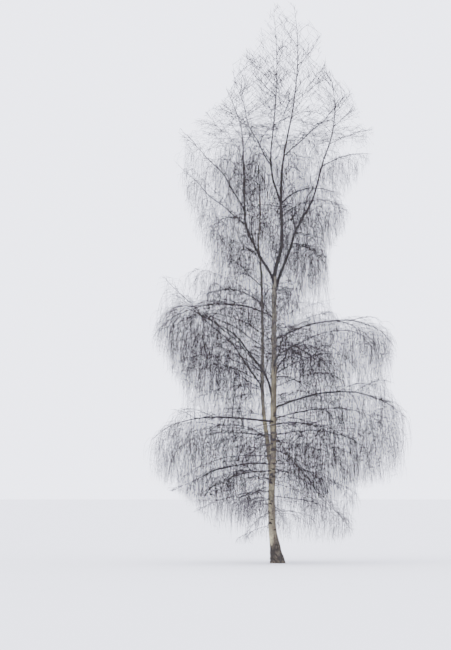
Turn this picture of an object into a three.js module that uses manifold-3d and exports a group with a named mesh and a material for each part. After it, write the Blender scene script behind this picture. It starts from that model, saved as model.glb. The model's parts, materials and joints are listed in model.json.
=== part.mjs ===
// A silver birch without its leaves, life size, in millimetres. Z is up, X runs to the right and Y away from
// the side that the tree is looked at from. The middle of the flat cut under the trunk is the origin.
//
// The trunk rises from its root flare to a fork. A second stem leaves it low down on the left, and a left, a
// centre and a right leader carry the top. Every limb is one curve that is worked out from how high it leaves
// its parent, its heading, its reach, its rise and the slopes at its two ends. The first share of a limb is a
// bare bough. The rest of it is the stem of a mass of twigs, which branch from it by one seeded rule and hang
// down at their ends. A limb without a bare bough belongs to its mass from its root on.
import * as THREE from 'three';
import { mergeVertices } from 'three/addons/utils/BufferGeometryUtils.js';
import Module from 'manifold-3d';

const wasm = await Module();
wasm.setup();

// Driving dimensions of the trunk
const TRUNK_HEIGHT = 6900;
const SHAFT_FOOT_RADIUS = 88;
const SHAFT_TOP_RADIUS = 55;
const FLARE = 92;
const FLARE_HEIGHT = 520;
const FLARE_POWER = 1.6;
const ROOT_LOBES = 5;
const ROOT_LOBE_DEPTH = 0.11;
const ROOT_LOBE_HEIGHT = 300;
const ROOT_LOBE_TURN = 0.5;
const TRUNK_SIDES = 14;
const TRUNK_RINGS = 15;
const RING_CROWDING = 1.9;

// Room between two pieces that meet, and room that a twig keeps to every other piece
const GAP = 0.3;
const TWIG_ROOM = 6;
const ROOT_DEPTH = 25;

// Limbs: how fast they taper, and how far their handles reach along the way
const TIP_SHARE = 0.16;
const LIMB_TAPER = 0.85;
const STEM_TAPER = 0.9;
const HANDLE = 0.38;
const BOUGH_SIDES = 6;
const STEM_SIDES = 4;
const TWIG_SIDES = 3;
const WAVE = 0.012;

// The rule of the twigs. Shoots leave their carrier to both sides, at a spacing, with a spread from its
// heading and a lift above level. Twigs hang from the shoots, and near the top they stand up more and more.
// Each pair is a range that a seeded draw falls in. A hanging twig is left out where its lower part would
// come too near another one, and a shoot where nothing hangs from it
const SHOOT_SPACING = 640;
const SHOOT_PLACES = [0.06, 0.97];
const TRUNK_MARGIN = 200;
const FORK_MARGIN = 0.2;
const SHOOT_SPREAD = [34, 62];
const SHOOT_LIFT = [10, 38];
const SHOOT_CARRY = 0.7;
const SHOOT_LENGTH = [0.42, 0.72];
const SHOOT_FADE = [1.15, 0.7];
const HANGING = 6;
const HANGING_APART = 450;
const HANGING_UPPER = 0.4;
const HANGING_GIRTH = 0.75;
const HANG_PLACES = [0.15, 0.97];
const HANG_SWING = 70;
const HANG_LIFT = 12;
const HANG_CARRY = 0.2;
const HANG_LENGTH = [0.75, 1.3];
const UPRIGHT_HEIGHTS = [10000, 12000];
const UPRIGHT_SHOOT_LIFT = 24;
const UPRIGHT_HANG_LIFT = 50;
const UPRIGHT_CARRY = 2.5;
const TWIG_THICKNESS = 20;
const TWIG_TIP = 0.4;
const FORK_GIRTH = 1.15;
const SHORTEST = 0.2;
const SPACE_BELOW = 0.2;
const SPACE_ABOVE = 1.5;
const SPACE_STEP = 0.1;
const NEARBY = 1200;
const TWIG_RINGS = 2;
const STEM_RINGS = 5;
const CLEAR_STEPS = 24;
const LIMB_CLEAR_STEPS = 8;
const CLEAR_PLACES = 4;
const STEM_PLACES = 5;
const FORK_PLACES = 2;
const HALVINGS = 24;
const SHOOT_JITTER = [0.3, 0.8];
const SPACE_START = 0.12;
const FIRST_CLEAR = 0.02;
const BOUGH_RINGS = 5;

const at = (x, y, z) => new THREE.Vector3(x, y, z);
const radians = THREE.MathUtils.degToRad;

// The stems: the places that each passes through as [across, deep, high], and its thickness at both ends
const STEMS = [
  {
    name: 'second_stem', thick: 118, thin: 34, sides: 10, rings: 17, joins: ['trunk'],
    line: [
      [-118, 0, 2080], [-172, 105, 2430], [-232, 200, 2930], [-300, 245, 3450], [-346, 262, 4150],
      [-338, 268, 4900], [-348, 280, 6300], [-388, 290, 7250], [-442, 300, 7680], [-398, 312, 8150],
      [-404, 320, 9000],
    ],
  },
  {
    name: 'centre_leader', thick: 98, thin: 34, sides: 10, rings: 14, joins: ['trunk'],
    line: [
      [-56, 15, 6820], [-40, 12, 6980], [22, 2, 7240], [108, -20, 7560], [122, -32, 8000], [108, -45, 8600],
      [130, -80, 9430], [192, -105, 9910], [270, -120, 10300], [384, -140, 10850],
    ],
  },
  {
    name: 'left_leader', thick: 74, thin: 32, sides: 8, rings: 13, joins: ['trunk', 'centre_leader'],
    line: [
      [-57, 14, 6560], [-110, -22, 6860], [-350, -85, 7260], [-505, -120, 7540], [-652, -150, 7850],
      [-748, -172, 8120], [-772, -200, 8500], [-792, -245, 9430], [-815, -262, 10000],
    ],
  },
  {
    name: 'right_leader', thick: 80, thin: 36, sides: 8, rings: 13, joins: ['trunk', 'centre_leader'],
    line: [
      [-58, 14, 6400], [-12, 24, 6650], [216, 72, 7270], [338, 92, 7590], [436, 112, 7930], [580, 142, 8220],
      [868, 190, 8750], [1036, 220, 9320], [1156, 240, 9780],
    ],
  },
  {
    name: 'centre_left_leader', thick: 54, thin: 28, sides: 8, rings: 9, joins: ['centre_leader'],
    line: [
      [108, -45, 8540], [88, 12, 8700], [-2, 70, 8980], [-108, 120, 9390], [-132, 150, 9960], [-84, 170, 10400],
      [-24, 180, 11050],
    ],
  },
];

// The limbs. 'on' is the height where a limb leaves its parent, or 'tip'. 'heading' turns from the right of
// the view (0) to the back (90), the left (180) and the front (270). 'reach' is level, 'rise' upright, and
// 'leave' and 'end' are its slopes. 'thick' is its thickness at the root and 'bare' the share that is a
// bough. 'weep' is how long its hanging twigs are. A fork leaves the mass's stem at the share 'on' of the
// limb.
const LIMBS = [
  {
    name: 'left_long', from: 'trunk', on: 3384, heading: 183, reach: 2970, rise: -500, leave: 4, end: -46,
    thick: 50, bare: 0.3, weep: 1500,
    forks: [
      { on: 0.6, heading: 160, reach: 900, rise: 120, leave: 35, end: -40 },
      { on: 0.45, heading: 208, reach: 1000, rise: 60, leave: 20, end: -45 },
    ],
  },
  {
    name: 'left_level', from: 'second_stem', on: 2990, heading: 142, reach: 2350, rise: 200,
    leave: 34, end: -8, thick: 34, bare: 0, weep: 1100,
    forks: [
      { on: 0.34, heading: 100, reach: 1050, rise: 420, leave: 36, end: -30 },
      { on: 0.6, heading: 182, reach: 1100, rise: -60, leave: 14, end: -34 },
    ],
  },
  {
    name: 'left_low', from: 'trunk', on: 2350, heading: 176, reach: 2440, rise: -650, leave: 8, end: -27,
    thick: 36, bare: 0.28, weep: 900,
    forks: [{ on: 0.4, heading: 138, reach: 1100, rise: -350, leave: 0, end: -30 }],
  },
  {
    name: 'left_lowest', from: 'trunk', on: 2190, heading: 216, reach: 2600, rise: -880, leave: 2, end: -34,
    thick: 34, bare: 0, weep: 1000,
    forks: [
      { on: 0.22, heading: 232, reach: 900, rise: 260, leave: 40, end: -10 },
      { on: 0.15, heading: 268, reach: 1450, rise: -500, leave: 5, end: -40 },
    ],
  },
  {
    name: 'left_rising', from: 'second_stem', on: 4180, heading: 177, reach: 2440, rise: 2800,
    leave: 62, end: 50, thick: 44, bare: 0.3, weep: 2000,
    forks: [{ on: 0.62, heading: 150, reach: 1000, rise: 500, leave: 30, end: -25 }],
  },
  {
    name: 'left_elbow', from: 'trunk', on: 3744, heading: 190, reach: 2250, rise: 2380, leave: 82, end: 20,
    thick: 60, bare: 0.3, weep: 2000,
    forks: [{ on: 0.66, heading: 215, reach: 950, rise: 150, leave: 20, end: -35 }],
  },
  {
    name: 'left_arch', from: 'trunk', on: 5880, heading: 176, reach: 2990, rise: -540, leave: 30, end: -58,
    thick: 40, bare: 0.3, weep: 2100,
    forks: [{ on: 0.58, heading: 150, reach: 900, rise: -150, leave: 10, end: -55 }],
  },
  {
    name: 'left_inner', from: 'second_stem', on: 4560, heading: 234, reach: 2250, rise: 700,
    leave: 30, end: 20, thick: 30, bare: 0, weep: 1600, forks: [],
  },
  {
    name: 'left_bend', from: 'second_stem', on: 6210, heading: 140, reach: 1850, rise: 370,
    leave: 40, end: -14, thick: 32, bare: 0, weep: 1500,
    forks: [{ on: 0.32, heading: 98, reach: 950, rise: 60, leave: 24, end: -44 }],
  },
  {
    name: 'left_upswept', from: 'second_stem', on: 6640, heading: 234, reach: 1790, rise: 1200,
    leave: 30, end: 58, thick: 28, bare: 0, weep: 1200, forks: [],
  },
  {
    name: 'upper_left', from: 'left_leader', on: 8110, heading: 186, reach: 1760, rise: 1560,
    leave: 36, end: 44, thick: 32, bare: 0.28, weep: 1200, forks: [],
  },
  {
    name: 'upper_left_far', from: 'left_leader', on: 8430, heading: 170, reach: 1660, rise: 2000,
    leave: 64, end: 38, thick: 34, bare: 0.28, weep: 1000,
    forks: [{ on: 0.78, heading: 200, reach: 420, rise: 420, leave: 60, end: 50 }],
  },
  {
    name: 'upper_left_fall', from: 'left_leader', on: 8230, heading: 230, reach: 1640, rise: -700,
    leave: 8, end: -56, thick: 26, bare: 0, weep: 1200, forks: [],
  },
  {
    name: 'left_top', from: 'left_leader', on: 'tip', heading: 184, reach: 440, rise: 1480,
    leave: 90, end: 66, thick: 30, bare: 0, weep: 900,
    forks: [{ on: 0.1, heading: 140, reach: 560, rise: 760, leave: 48, end: 60 }],
  },
  {
    name: 'second_stem_top', from: 'second_stem', on: 'tip', heading: 120, reach: 330, rise: 1500,
    leave: 86, end: 72, thick: 24, bare: 0, weep: 1000,
    forks: [{ on: 0.2, heading: 110, reach: 900, rise: 600, leave: 40, end: 20 }],
  },
  {
    name: 'centre_left_limb', from: 'centre_left_leader', on: 9600, heading: 164, reach: 1020, rise: 2540,
    leave: 56, end: 72, thick: 30, bare: 0.28, weep: 900,
    forks: [{ on: 0.7, heading: 60, reach: 260, rise: 460, leave: 50, end: 62 }],
  },
  {
    name: 'centre_left_top', from: 'centre_left_leader', on: 'tip', heading: 170, reach: 40, rise: 2460,
    leave: 94, end: 84, thick: 26, bare: 0, weep: 850,
    forks: [
      { on: 0.1, heading: 150, reach: 680, rise: 860, leave: 40, end: 66 },
      { on: 0.2, heading: 205, reach: 620, rise: 640, leave: 38, end: 52 },
      { on: 0.42, heading: 70, reach: 480, rise: 620, leave: 42, end: 60 },
    ],
  },
  {
    name: 'centre_top', from: 'centre_leader', on: 'tip', heading: 0, reach: 10, rise: 2780,
    leave: 82, end: 101, thick: 32, bare: 0, weep: 800,
    forks: [
      { on: 0.08, heading: 338, reach: 880, rise: 560, leave: 38, end: 24 },
      { on: 0.43, heading: 12, reach: 620, rise: 840, leave: 42, end: 60 },
      { on: 0.58, heading: 205, reach: 430, rise: 560, leave: 42, end: 56 },
      { on: 0.3, heading: 285, reach: 640, rise: 620, leave: 36, end: 56 },
    ],
  },
  {
    name: 'centre_right_limb', from: 'centre_leader', on: 9780, heading: 24, reach: 1640, rise: 1590,
    leave: 44, end: 52, thick: 32, bare: 0.28, weep: 900, forks: [],
  },
  {
    name: 'centre_arch', from: 'centre_leader', on: 8620, heading: 320, reach: 2000, rise: -400,
    leave: 46, end: -76, thick: 32, bare: 0, weep: 1300, forks: [],
  },
  {
    name: 'right_top', from: 'right_leader', on: 'tip', heading: 350, reach: 130, rise: 2260,
    leave: 66, end: 104, thick: 34, bare: 0, weep: 850,
    forks: [
      { on: 0.16, heading: 352, reach: 1080, rise: 320, leave: 26, end: 2 },
      { on: 0.36, heading: 24, reach: 580, rise: 620, leave: 36, end: 62 },
      { on: 0.5, heading: 316, reach: 560, rise: 560, leave: 36, end: 58 },
    ],
  },
  {
    name: 'right_high', from: 'right_leader', on: 9600, heading: 6, reach: 1260, rise: 320,
    leave: 30, end: -6, thick: 26, bare: 0, weep: 900, forks: [],
  },
  {
    name: 'right_fall', from: 'right_leader', on: 7680, heading: 306, reach: 1600, rise: -1300,
    leave: -4, end: -86, thick: 28, bare: 0, weep: 1400, forks: [],
  },
  {
    name: 'right_arch', from: 'trunk', on: 5330, heading: 355, reach: 2850, rise: -150, leave: 30, end: -60,
    thick: 42, bare: 0.3, weep: 1600,
    forks: [
      { on: 0.46, heading: 350, reach: 1180, rise: -760, leave: -8, end: -48 },
      { on: 0.62, heading: 22, reach: 900, rise: -80, leave: 14, end: -60 },
    ],
  },
  {
    name: 'right_drooping', from: 'trunk', on: 5160, heading: 52, reach: 2280, rise: -960,
    leave: 16, end: -72, thick: 32, bare: 0, weep: 1400, forks: [],
  },
  {
    name: 'right_long', from: 'trunk', on: 3700, heading: 358, reach: 3230, rise: -330, leave: 24, end: -52,
    thick: 48, bare: 0.3, weep: 1600,
    forks: [
      { on: 0.56, heading: 22, reach: 1200, rise: 120, leave: 34, end: -50 },
      { on: 0.45, heading: 334, reach: 1000, rise: 60, leave: 20, end: -45 },
      { on: 0.74, heading: 18, reach: 750, rise: -330, leave: -6, end: -50 },
    ],
  },
  {
    name: 'right_level', from: 'trunk', on: 3320, heading: 38, reach: 2550, rise: -320, leave: 6, end: -20,
    thick: 34, bare: 0.28, weep: 1300,
    forks: [
      { on: 0.45, heading: 8, reach: 900, rise: 140, leave: 18, end: -8 },
      { on: 0.66, heading: 2, reach: 1050, rise: -180, leave: 4, end: -30 },
    ],
  },
  {
    name: 'right_steep', from: 'trunk', on: 3560, heading: 296, reach: 2200, rise: -720, leave: -14, end: -60,
    thick: 30, bare: 0, weep: 1300, forks: [],
  },
  {
    name: 'right_lowest', from: 'trunk', on: 3120, heading: 348, reach: 2010, rise: -2440,
    leave: -56, end: -46, thick: 30, bare: 0.28, weep: 1000,
    forks: [{ on: 0.36, heading: 318, reach: 1300, rise: -50, leave: 20, end: -40 }],
  },
  {
    name: 'right_low', from: 'trunk', on: 2260, heading: 56, reach: 2150, rise: -560, leave: -6, end: -24,
    thick: 28, bare: 0, weep: 1000,
    forks: [{ on: 0.3, heading: 98, reach: 1150, rise: -250, leave: 10, end: -40 }],
  },
  {
    name: 'front_low', from: 'trunk', on: 2900, heading: 262, reach: 2700, rise: -420, leave: 14, end: -42,
    thick: 36, bare: 0.28, weep: 1300, forks: [],
  },
  {
    name: 'front_middle', from: 'trunk', on: 4700, heading: 284, reach: 2500, rise: 650, leave: 42, end: -20,
    thick: 40, bare: 0.3, weep: 1500,
    forks: [
      { on: 0.55, heading: 245, reach: 1000, rise: 120, leave: 24, end: -46 },
      { on: 0.4, heading: 325, reach: 900, rise: 420, leave: 54, end: 0 },
    ],
  },
  {
    name: 'back_low', from: 'trunk', on: 2800, heading: 84, reach: 2700, rise: -380, leave: 12, end: -44,
    thick: 36, bare: 0.28, weep: 1300, forks: [],
  },
  {
    name: 'back_middle', from: 'trunk', on: 4400, heading: 68, reach: 2550, rise: 900, leave: 44, end: -16,
    thick: 40, bare: 0.3, weep: 1500,
    forks: [
      { on: 0.55, heading: 110, reach: 1100, rise: 160, leave: 24, end: -46 },
      { on: 0.38, heading: 132, reach: 1050, rise: 260, leave: 32, end: -30 },
    ],
  },
  {
    name: 'front_high', from: 'left_leader', on: 7640, heading: 262, reach: 2000, rise: 950,
    leave: 46, end: 4, thick: 32, bare: 0, weep: 1500,
    forks: [{ on: 0.35, heading: 330, reach: 1000, rise: 100, leave: 30, end: -40 }],
  },
  {
    name: 'back_high', from: 'right_leader', on: 8000, heading: 96, reach: 2050, rise: 1000,
    leave: 46, end: 6, thick: 32, bare: 0, weep: 1500,
    forks: [
      { on: 0.35, heading: 170, reach: 1100, rise: 60, leave: 24, end: -44 },
      { on: 0.22, heading: 122, reach: 900, rise: -420, leave: -10, end: -60 },
    ],
  },
];

// The crown's outline: how far its twigs reach to the left and to the right at a height
const CROWN = [
  [0, 900, 900], [600, 1400, 1900], [1650, 2550, 2050], [1900, 3230, 3270], [2900, 3200, 3270],
  [3500, 2650, 3220], [4000, 2350, 2950], [4400, 2700, 2850], [5200, 3120, 3000], [5800, 3060, 2850],
  [6200, 2960, 1450],
  [6950, 3000, 1330], [7350, 1950, 1380], [7800, 2050, 1750], [8700, 2380, 1900], [9700, 2500, 2400],
  [10400, 2420, 2450], [11300, 1280, 1950], [12120, 1120, 1250], [12960, 420, 1100], [13620, 110, 430],
];
const CROWN_TOP = CROWN.at(-1)[0];
const CROWN_DEPTH = 0.88;

// Colours of the bark: pale on the trunk, greyer on the limbs and dark purple brown on the twigs
const TRUNK_BARK = new THREE.MeshStandardMaterial({ color: 0xc9c3b4, roughness: 0.82, metalness: 0 });
const LIMB_BARK = new THREE.MeshStandardMaterial({ color: 0x857f78, roughness: 0.85, metalness: 0 });
const TWIG_BARK = new THREE.MeshStandardMaterial({ color: 0x5b4d4f, roughness: 0.7, metalness: 0 });

// A number between 0 and 1 that depends only on the whole numbers it is given
function draw(...keys) {
  let mixed = 2166136261;
  for (const key of keys) {
    mixed = Math.imul(mixed ^ key, 16777619);
    mixed ^= mixed >>> 13;
    mixed = Math.imul(mixed, 1540483477);
    mixed ^= mixed >>> 15;
  }
  return (mixed >>> 0) / 4294967296;
}

const between = (low, high, share) => low + (high - low) * share;

// The direction with this heading and this slope, both in degrees
function direction(heading, slope) {
  const level = Math.cos(radians(slope));
  return at(level * Math.cos(radians(heading)), level * Math.sin(radians(heading)), Math.sin(radians(slope)));
}

// The curve of a limb: it leaves its foot at one slope and comes to its tip at another
function limbCurve(foot, limb) {
  const tip = foot.clone().add(direction(limb.heading, 0).multiplyScalar(limb.reach));
  tip.z += limb.rise;
  const handle = foot.distanceTo(tip) * HANDLE;
  const leaving = foot.clone().addScaledVector(direction(limb.heading, limb.leave), handle);
  const arriving = tip.clone().addScaledVector(direction(limb.heading, limb.end), -handle);
  return new THREE.CubicBezierCurve3(foot, leaving, arriving, tip);
}

// A curve that keeps only the stretch of another between two shares of its length, and may sway a little
class Stretch extends THREE.Curve {
  constructor(whole, first, last, sway, seed) {
    super();
    Object.assign(this, { whole, first, last, sway, seed });
  }

  getPoint(share, target = new THREE.Vector3()) {
    const along = between(this.first, this.last, share);
    this.whole.getPointAt(THREE.MathUtils.clamp(along, 0, 1), target);
    const turn = Math.PI * 2 * draw(this.seed, 1);
    const fade = Math.sin(Math.PI * along);
    target.x += this.sway * fade * Math.sin(Math.PI * 5 * along + turn);
    target.y += this.sway * fade * Math.sin(Math.PI * 4 * along + 2 * turn);
    return target;
  }
}

// The curve of a twig: it sets out along its aim and turns to the ground as it goes. 'carry' is the share of
// its length over which most of the turn is made, so a small one hangs almost straight down
class Fall extends THREE.Curve {
  constructor(start, aim, length, carry) {
    super();
    Object.assign(this, { start, aim, length, carry });
  }

  getPoint(share, target = new THREE.Vector3()) {
    const out = this.carry * (1 - Math.exp(-share / this.carry));
    target.copy(this.start).addScaledVector(this.aim, this.length * out);
    target.z -= this.length * (share - out);
    return target;
  }
}

// A closed tube along a curve, with a radius for every share of the way, and a point at its end if it is
// sharp. It can be swollen all over by a small amount, to cut a clear seat for it in another piece
function tube(curve, radius, sides, rings, sharp, swell = 0) {
  const geometry = new THREE.CylinderGeometry(sharp ? 0 : 1, 1, 1, sides, rings);
  const frames = curve.computeFrenetFrames(rings, false);
  const places = curve.getSpacedPoints(rings);
  const position = geometry.getAttribute('position');
  for (let i = 0; i < position.count; i += 1) {
    const x = position.getX(i);
    const z = position.getZ(i);
    const ring = Math.round((position.getY(i) + 0.5) * rings);
    const away = Math.hypot(x, z);
    const scale = away > 0 ? (radius(ring / rings) + swell) / away : 0;
    const place = places[ring].clone();
    if (ring === rings) place.addScaledVector(frames.tangents[ring], swell);
    place.addScaledVector(frames.normals[ring], x * scale).addScaledVector(frames.binormals[ring], -z * scale);
    position.setXYZ(i, place.x, place.y, place.z);
  }
  return solid(geometry);
}

// The point at a share of a tube's middle, which runs straight from ring to ring
function middleOf(curve, rings, share) {
  const ring = Math.min(Math.floor(share * rings), rings - 1);
  const before = curve.getPointAt(ring / rings);
  return before.lerp(curve.getPointAt((ring + 1) / rings), share * rings - ring);
}

// A geometry as a solid whose shared vertices are merged
function solid(geometry) {
  geometry.deleteAttribute('normal');
  geometry.deleteAttribute('uv');
  const merged = mergeVertices(geometry, 1e-4);
  return new wasm.Manifold(new wasm.Mesh({
    numProp: 3,
    vertProperties: Float32Array.from(merged.getAttribute('position').array),
    triVerts: Uint32Array.from(merged.getIndex().array),
  }));
}

// A solid as a geometry for a mesh
function geometryOf(body) {
  const mesh = body.getMesh();
  const geometry = new THREE.BufferGeometry();
  geometry.setAttribute('position', new THREE.BufferAttribute(Float32Array.from(mesh.vertProperties), 3));
  geometry.setIndex(new THREE.BufferAttribute(Uint32Array.from(mesh.triVerts), 1));
  geometry.computeVertexNormals();
  return geometry;
}

const trunkLine = new THREE.CatmullRomCurve3([
  at(0, 0, 0), at(-44, 8, 340), at(-112, 16, 800), at(-137, 12, 1500), at(-97, -8, 2700), at(-77, 2, 4300),
  at(-55, 15, TRUNK_HEIGHT),
]);

// The point of a stem's middle at a height, found by halving
function pointAtHeight(curve, height) {
  let low = 0;
  let high = 1;
  for (let step = 0; step < HALVINGS; step += 1) {
    const middle = (low + high) / 2;
    if (curve.getPoint(middle).z < height) low = middle;
    else high = middle;
  }
  return curve.getPoint(low);
}

// The point where a limb that goes on from a stem's tip is rooted, a little inside the stem
const tipSeat = (curve) => curve.getPointAt(1 - ROOT_DEPTH / curve.getLength());

// Half the trunk's width at a height, and how much a root lobe adds there in one direction
function trunkRadius(height, angle) {
  const shaft = between(SHAFT_FOOT_RADIUS, SHAFT_TOP_RADIUS, height / TRUNK_HEIGHT);
  const flare = FLARE * Math.exp(-((height / FLARE_HEIGHT) ** FLARE_POWER));
  const lobe = ROOT_LOBE_DEPTH * Math.exp(-height / ROOT_LOBE_HEIGHT);
  return (shaft + flare) * (1 + lobe * Math.cos(ROOT_LOBES * angle + ROOT_LOBE_TURN));
}

// The trunk, with level rings that stand closer together in the flare
function trunkBody(extra) {
  const geometry = new THREE.CylinderGeometry(1, 1, 1, TRUNK_SIDES, TRUNK_RINGS);
  geometry.rotateX(Math.PI / 2);
  const position = geometry.getAttribute('position');
  for (let i = 0; i < position.count; i += 1) {
    const share = Math.round((position.getZ(i) + 0.5) * TRUNK_RINGS) / TRUNK_RINGS;
    const height = (TRUNK_HEIGHT + extra) * share ** RING_CROWDING;
    const middle = pointAtHeight(trunkLine, height);
    const angle = Math.atan2(position.getY(i), position.getX(i));
    const away = Math.hypot(position.getX(i), position.getY(i));
    const radius = away > 0.5 ? trunkRadius(height, angle) + extra : 0;
    position.setXYZ(i, middle.x + radius * Math.cos(angle), middle.y + radius * Math.sin(angle), height);
  }
  return solid(geometry);
}

// Everything that a twig has to keep clear of, as short round stretches
const stretches = [];

function keepClearOf(curve, radius, steps, owner) {
  const places = curve.getSpacedPoints(steps);
  for (let i = 0; i < steps; i += 1) {
    stretches.push({ from: places[i], to: places[i + 1], radius: radius((i + 0.5) / steps), owner });
  }
}

// The smallest distance between two straight stretches
function distanceBetween(a, b, c, d) {
  const ab = b.clone().sub(a);
  const cd = d.clone().sub(c);
  const ca = a.clone().sub(c);
  const abab = ab.dot(ab);
  const abcd = ab.dot(cd);
  const cdcd = cd.dot(cd);
  const spread = abab * cdcd - abcd * abcd;
  const clamp = (value) => THREE.MathUtils.clamp(value, 0, 1);
  let s = spread > 1e-6 ? clamp((abcd * cd.dot(ca) - cdcd * ab.dot(ca)) / spread) : 0;
  const t = clamp((abcd * s + cd.dot(ca)) / cdcd);
  s = clamp((abcd * t - ab.dot(ca)) / abab);
  return a.clone().addScaledVector(ab, s).distanceTo(c.clone().addScaledVector(cd, t));
}

function isClear(curve, radius, owner) {
  const places = curve.getSpacedPoints(CLEAR_PLACES);
  for (let i = 1; i < places.length; i += 1) {
    for (const other of stretches) {
      if (other.owner === owner) continue;
      if (Math.abs(other.from.z - places[i].z) > NEARBY) continue;
      const room = radius + other.radius + TWIG_ROOM;
      if (distanceBetween(places[i - 1], places[i], other.from, other.to) < room) return false;
    }
  }
  return true;
}

// The lower parts of the twigs that hang so far
const hung = [];

// Whether the lower part of a hanging twig keeps this distance from all the others, so that they spread
// evenly
function hasRoom(from, to) {
  return hung.every((other) => {
    if (Math.abs(other.to.z - to.z) > NEARBY * 2) return true;
    return distanceBetween(from, to, other.from, other.to) > HANGING_APART;
  });
}

const bodies = new Map();
const curves = new Map([['trunk', trunkLine]]);
const swollen = new Map([['trunk', trunkBody(GAP)]]);
bodies.set('trunk', { body: trunkBody(0), bark: TRUNK_BARK });
keepClearOf(trunkLine, (share) => trunkRadius(share * TRUNK_HEIGHT, 0), CLEAR_STEPS, 'trunk');

// The stems
for (const stem of STEMS) {
  const curve = new THREE.CatmullRomCurve3(stem.line.map((place) => at(...place)));
  const radius = (share) => between(stem.thick, stem.thin, share ** STEM_TAPER) / 2;
  let body = tube(curve, radius, stem.sides, stem.rings, false);
  for (const name of stem.joins) body = body.subtract(swollen.get(name));
  swollen.set(stem.name, tube(curve, radius, stem.sides, stem.rings, false, GAP));
  curves.set(stem.name, curve);
  bodies.set(stem.name, { body, bark: stem.name === 'second_stem' ? TRUNK_BARK : LIMB_BARK });
  keepClearOf(curve, radius, CLEAR_STEPS, stem.name);
}

// The limbs: each gets its curve, and its bough if a share of it is bare
for (const [number, limb] of LIMBS.entries()) {
  const parent = curves.get(limb.from);
  const foot = limb.on === 'tip' ? tipSeat(parent) : pointAtHeight(parent, limb.on);
  const whole = limbCurve(foot, limb);
  limb.number = number;
  limb.curve = new Stretch(whole, 0, 1, limb.on === 'tip' ? 0 : whole.getLength() * WAVE, number);
  limb.length = whole.getLength();
  limb.radius = (share) => between(limb.thick, limb.thick * TIP_SHARE, share ** LIMB_TAPER) / 2;
  if (limb.bare > 0) {
    const stretch = new Stretch(limb.curve, 0, limb.bare, 0, 0);
    const radius = (share) => limb.radius(share * limb.bare);
    const body = tube(stretch, radius, BOUGH_SIDES, BOUGH_RINGS, false).subtract(swollen.get(limb.from));
    bodies.set(`${limb.name}_bough`, { body, bark: LIMB_BARK });
    keepClearOf(stretch, radius, LIMB_CLEAR_STEPS, `${limb.name}_bough`);
  }
}

// The stem of each mass, from 0.3 mm clear of the bough, or inside the trunk where it is cut clear afterwards
for (const limb of LIMBS) {
  const owner = `${limb.name}_twigs`;
  const clear = Math.max(limb.bare, FIRST_CLEAR);
  const radius = (share) => limb.radius(between(clear, 1, share));
  keepClearOf(new Stretch(limb.curve, clear, 1, 0, 0), radius, LIMB_CLEAR_STEPS, owner);
  limb.first = limb.bare > 0 ? limb.bare + GAP / limb.length : 0;
  limb.stem = new Stretch(limb.curve, limb.first, 1, 0, 0);
}

// The forks of each stem that have room
for (const limb of LIMBS) {
  const owner = `${limb.name}_twigs`;
  limb.branches = [];
  for (const fork of limb.forks) {
    const share = (fork.on - limb.bare) / (1 - limb.bare);
    const curve = limbCurve(middleOf(limb.stem, STEM_RINGS, share), fork);
    if (!isClear(curve, TWIG_THICKNESS / 2, owner)) continue;
    keepClearOf(curve, () => TWIG_THICKNESS / 2, CLEAR_PLACES, owner);
    limb.branches.push(curve);
  }
}

// The space of a mass: nearer to its own stem than to any other, with more room below a stem than above it
const stemPlaces = LIMBS.map((limb) => {
  const stretch = new Stretch(limb.curve, Math.max(limb.bare, SPACE_START), 1, 0, 0);
  const places = stretch.getSpacedPoints(STEM_PLACES);
  return places.concat(...limb.branches.map((curve) => curve.getSpacedPoints(FORK_PLACES).slice(1)));
});

function farness(place, number) {
  let least = Infinity;
  for (const middle of stemPlaces[number]) {
    const below = middle.z - place.z;
    const upright = below * (below > 0 ? SPACE_BELOW : SPACE_ABOVE);
    least = Math.min(least, Math.hypot(place.x - middle.x, place.y - middle.y, upright));
  }
  return least;
}

// How far the crown reaches at a height, on the side where a place lies
function crownReach(place) {
  const above = CROWN.findIndex(([height]) => height > place.z);
  const [low, lowLeft, lowRight] = CROWN[above - 1];
  const [high, highLeft, highRight] = CROWN[above];
  const share = (place.z - low) / (high - low);
  const left = between(lowLeft, highLeft, share);
  const right = between(lowRight, highRight, share);
  const deep = (CROWN_DEPTH * (left + right)) / 2;
  const across = place.x ** 2 / (place.x ** 2 + place.y ** 2 + 1);
  return between(deep, place.x < 0 ? left : right, across);
}

function isOwnSpace(place, number) {
  if (place.z < 0 || place.z >= CROWN_TOP) return false;
  if (Math.hypot(place.x, place.y) > crownReach(place)) return false;
  const own = farness(place, number);
  return LIMBS.every((limb, other) => other === number || farness(place, other) > own);
}

// The longest share of a twig that stays in its mass's space, in steps of a tenth
function shareInSpace(curve, number) {
  for (let share = 1; share > 0; share -= SPACE_STEP) {
    if (isOwnSpace(curve.getPoint(share), number)) return share;
  }
  return 0;
}

// How far the twigs stand up at a height: 0 where they hang down, rising to 1 near the top
function uprightness(height) {
  const [low, high] = UPRIGHT_HEIGHTS;
  return THREE.MathUtils.clamp((height - low) / (high - low), 0, 1);
}

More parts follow.
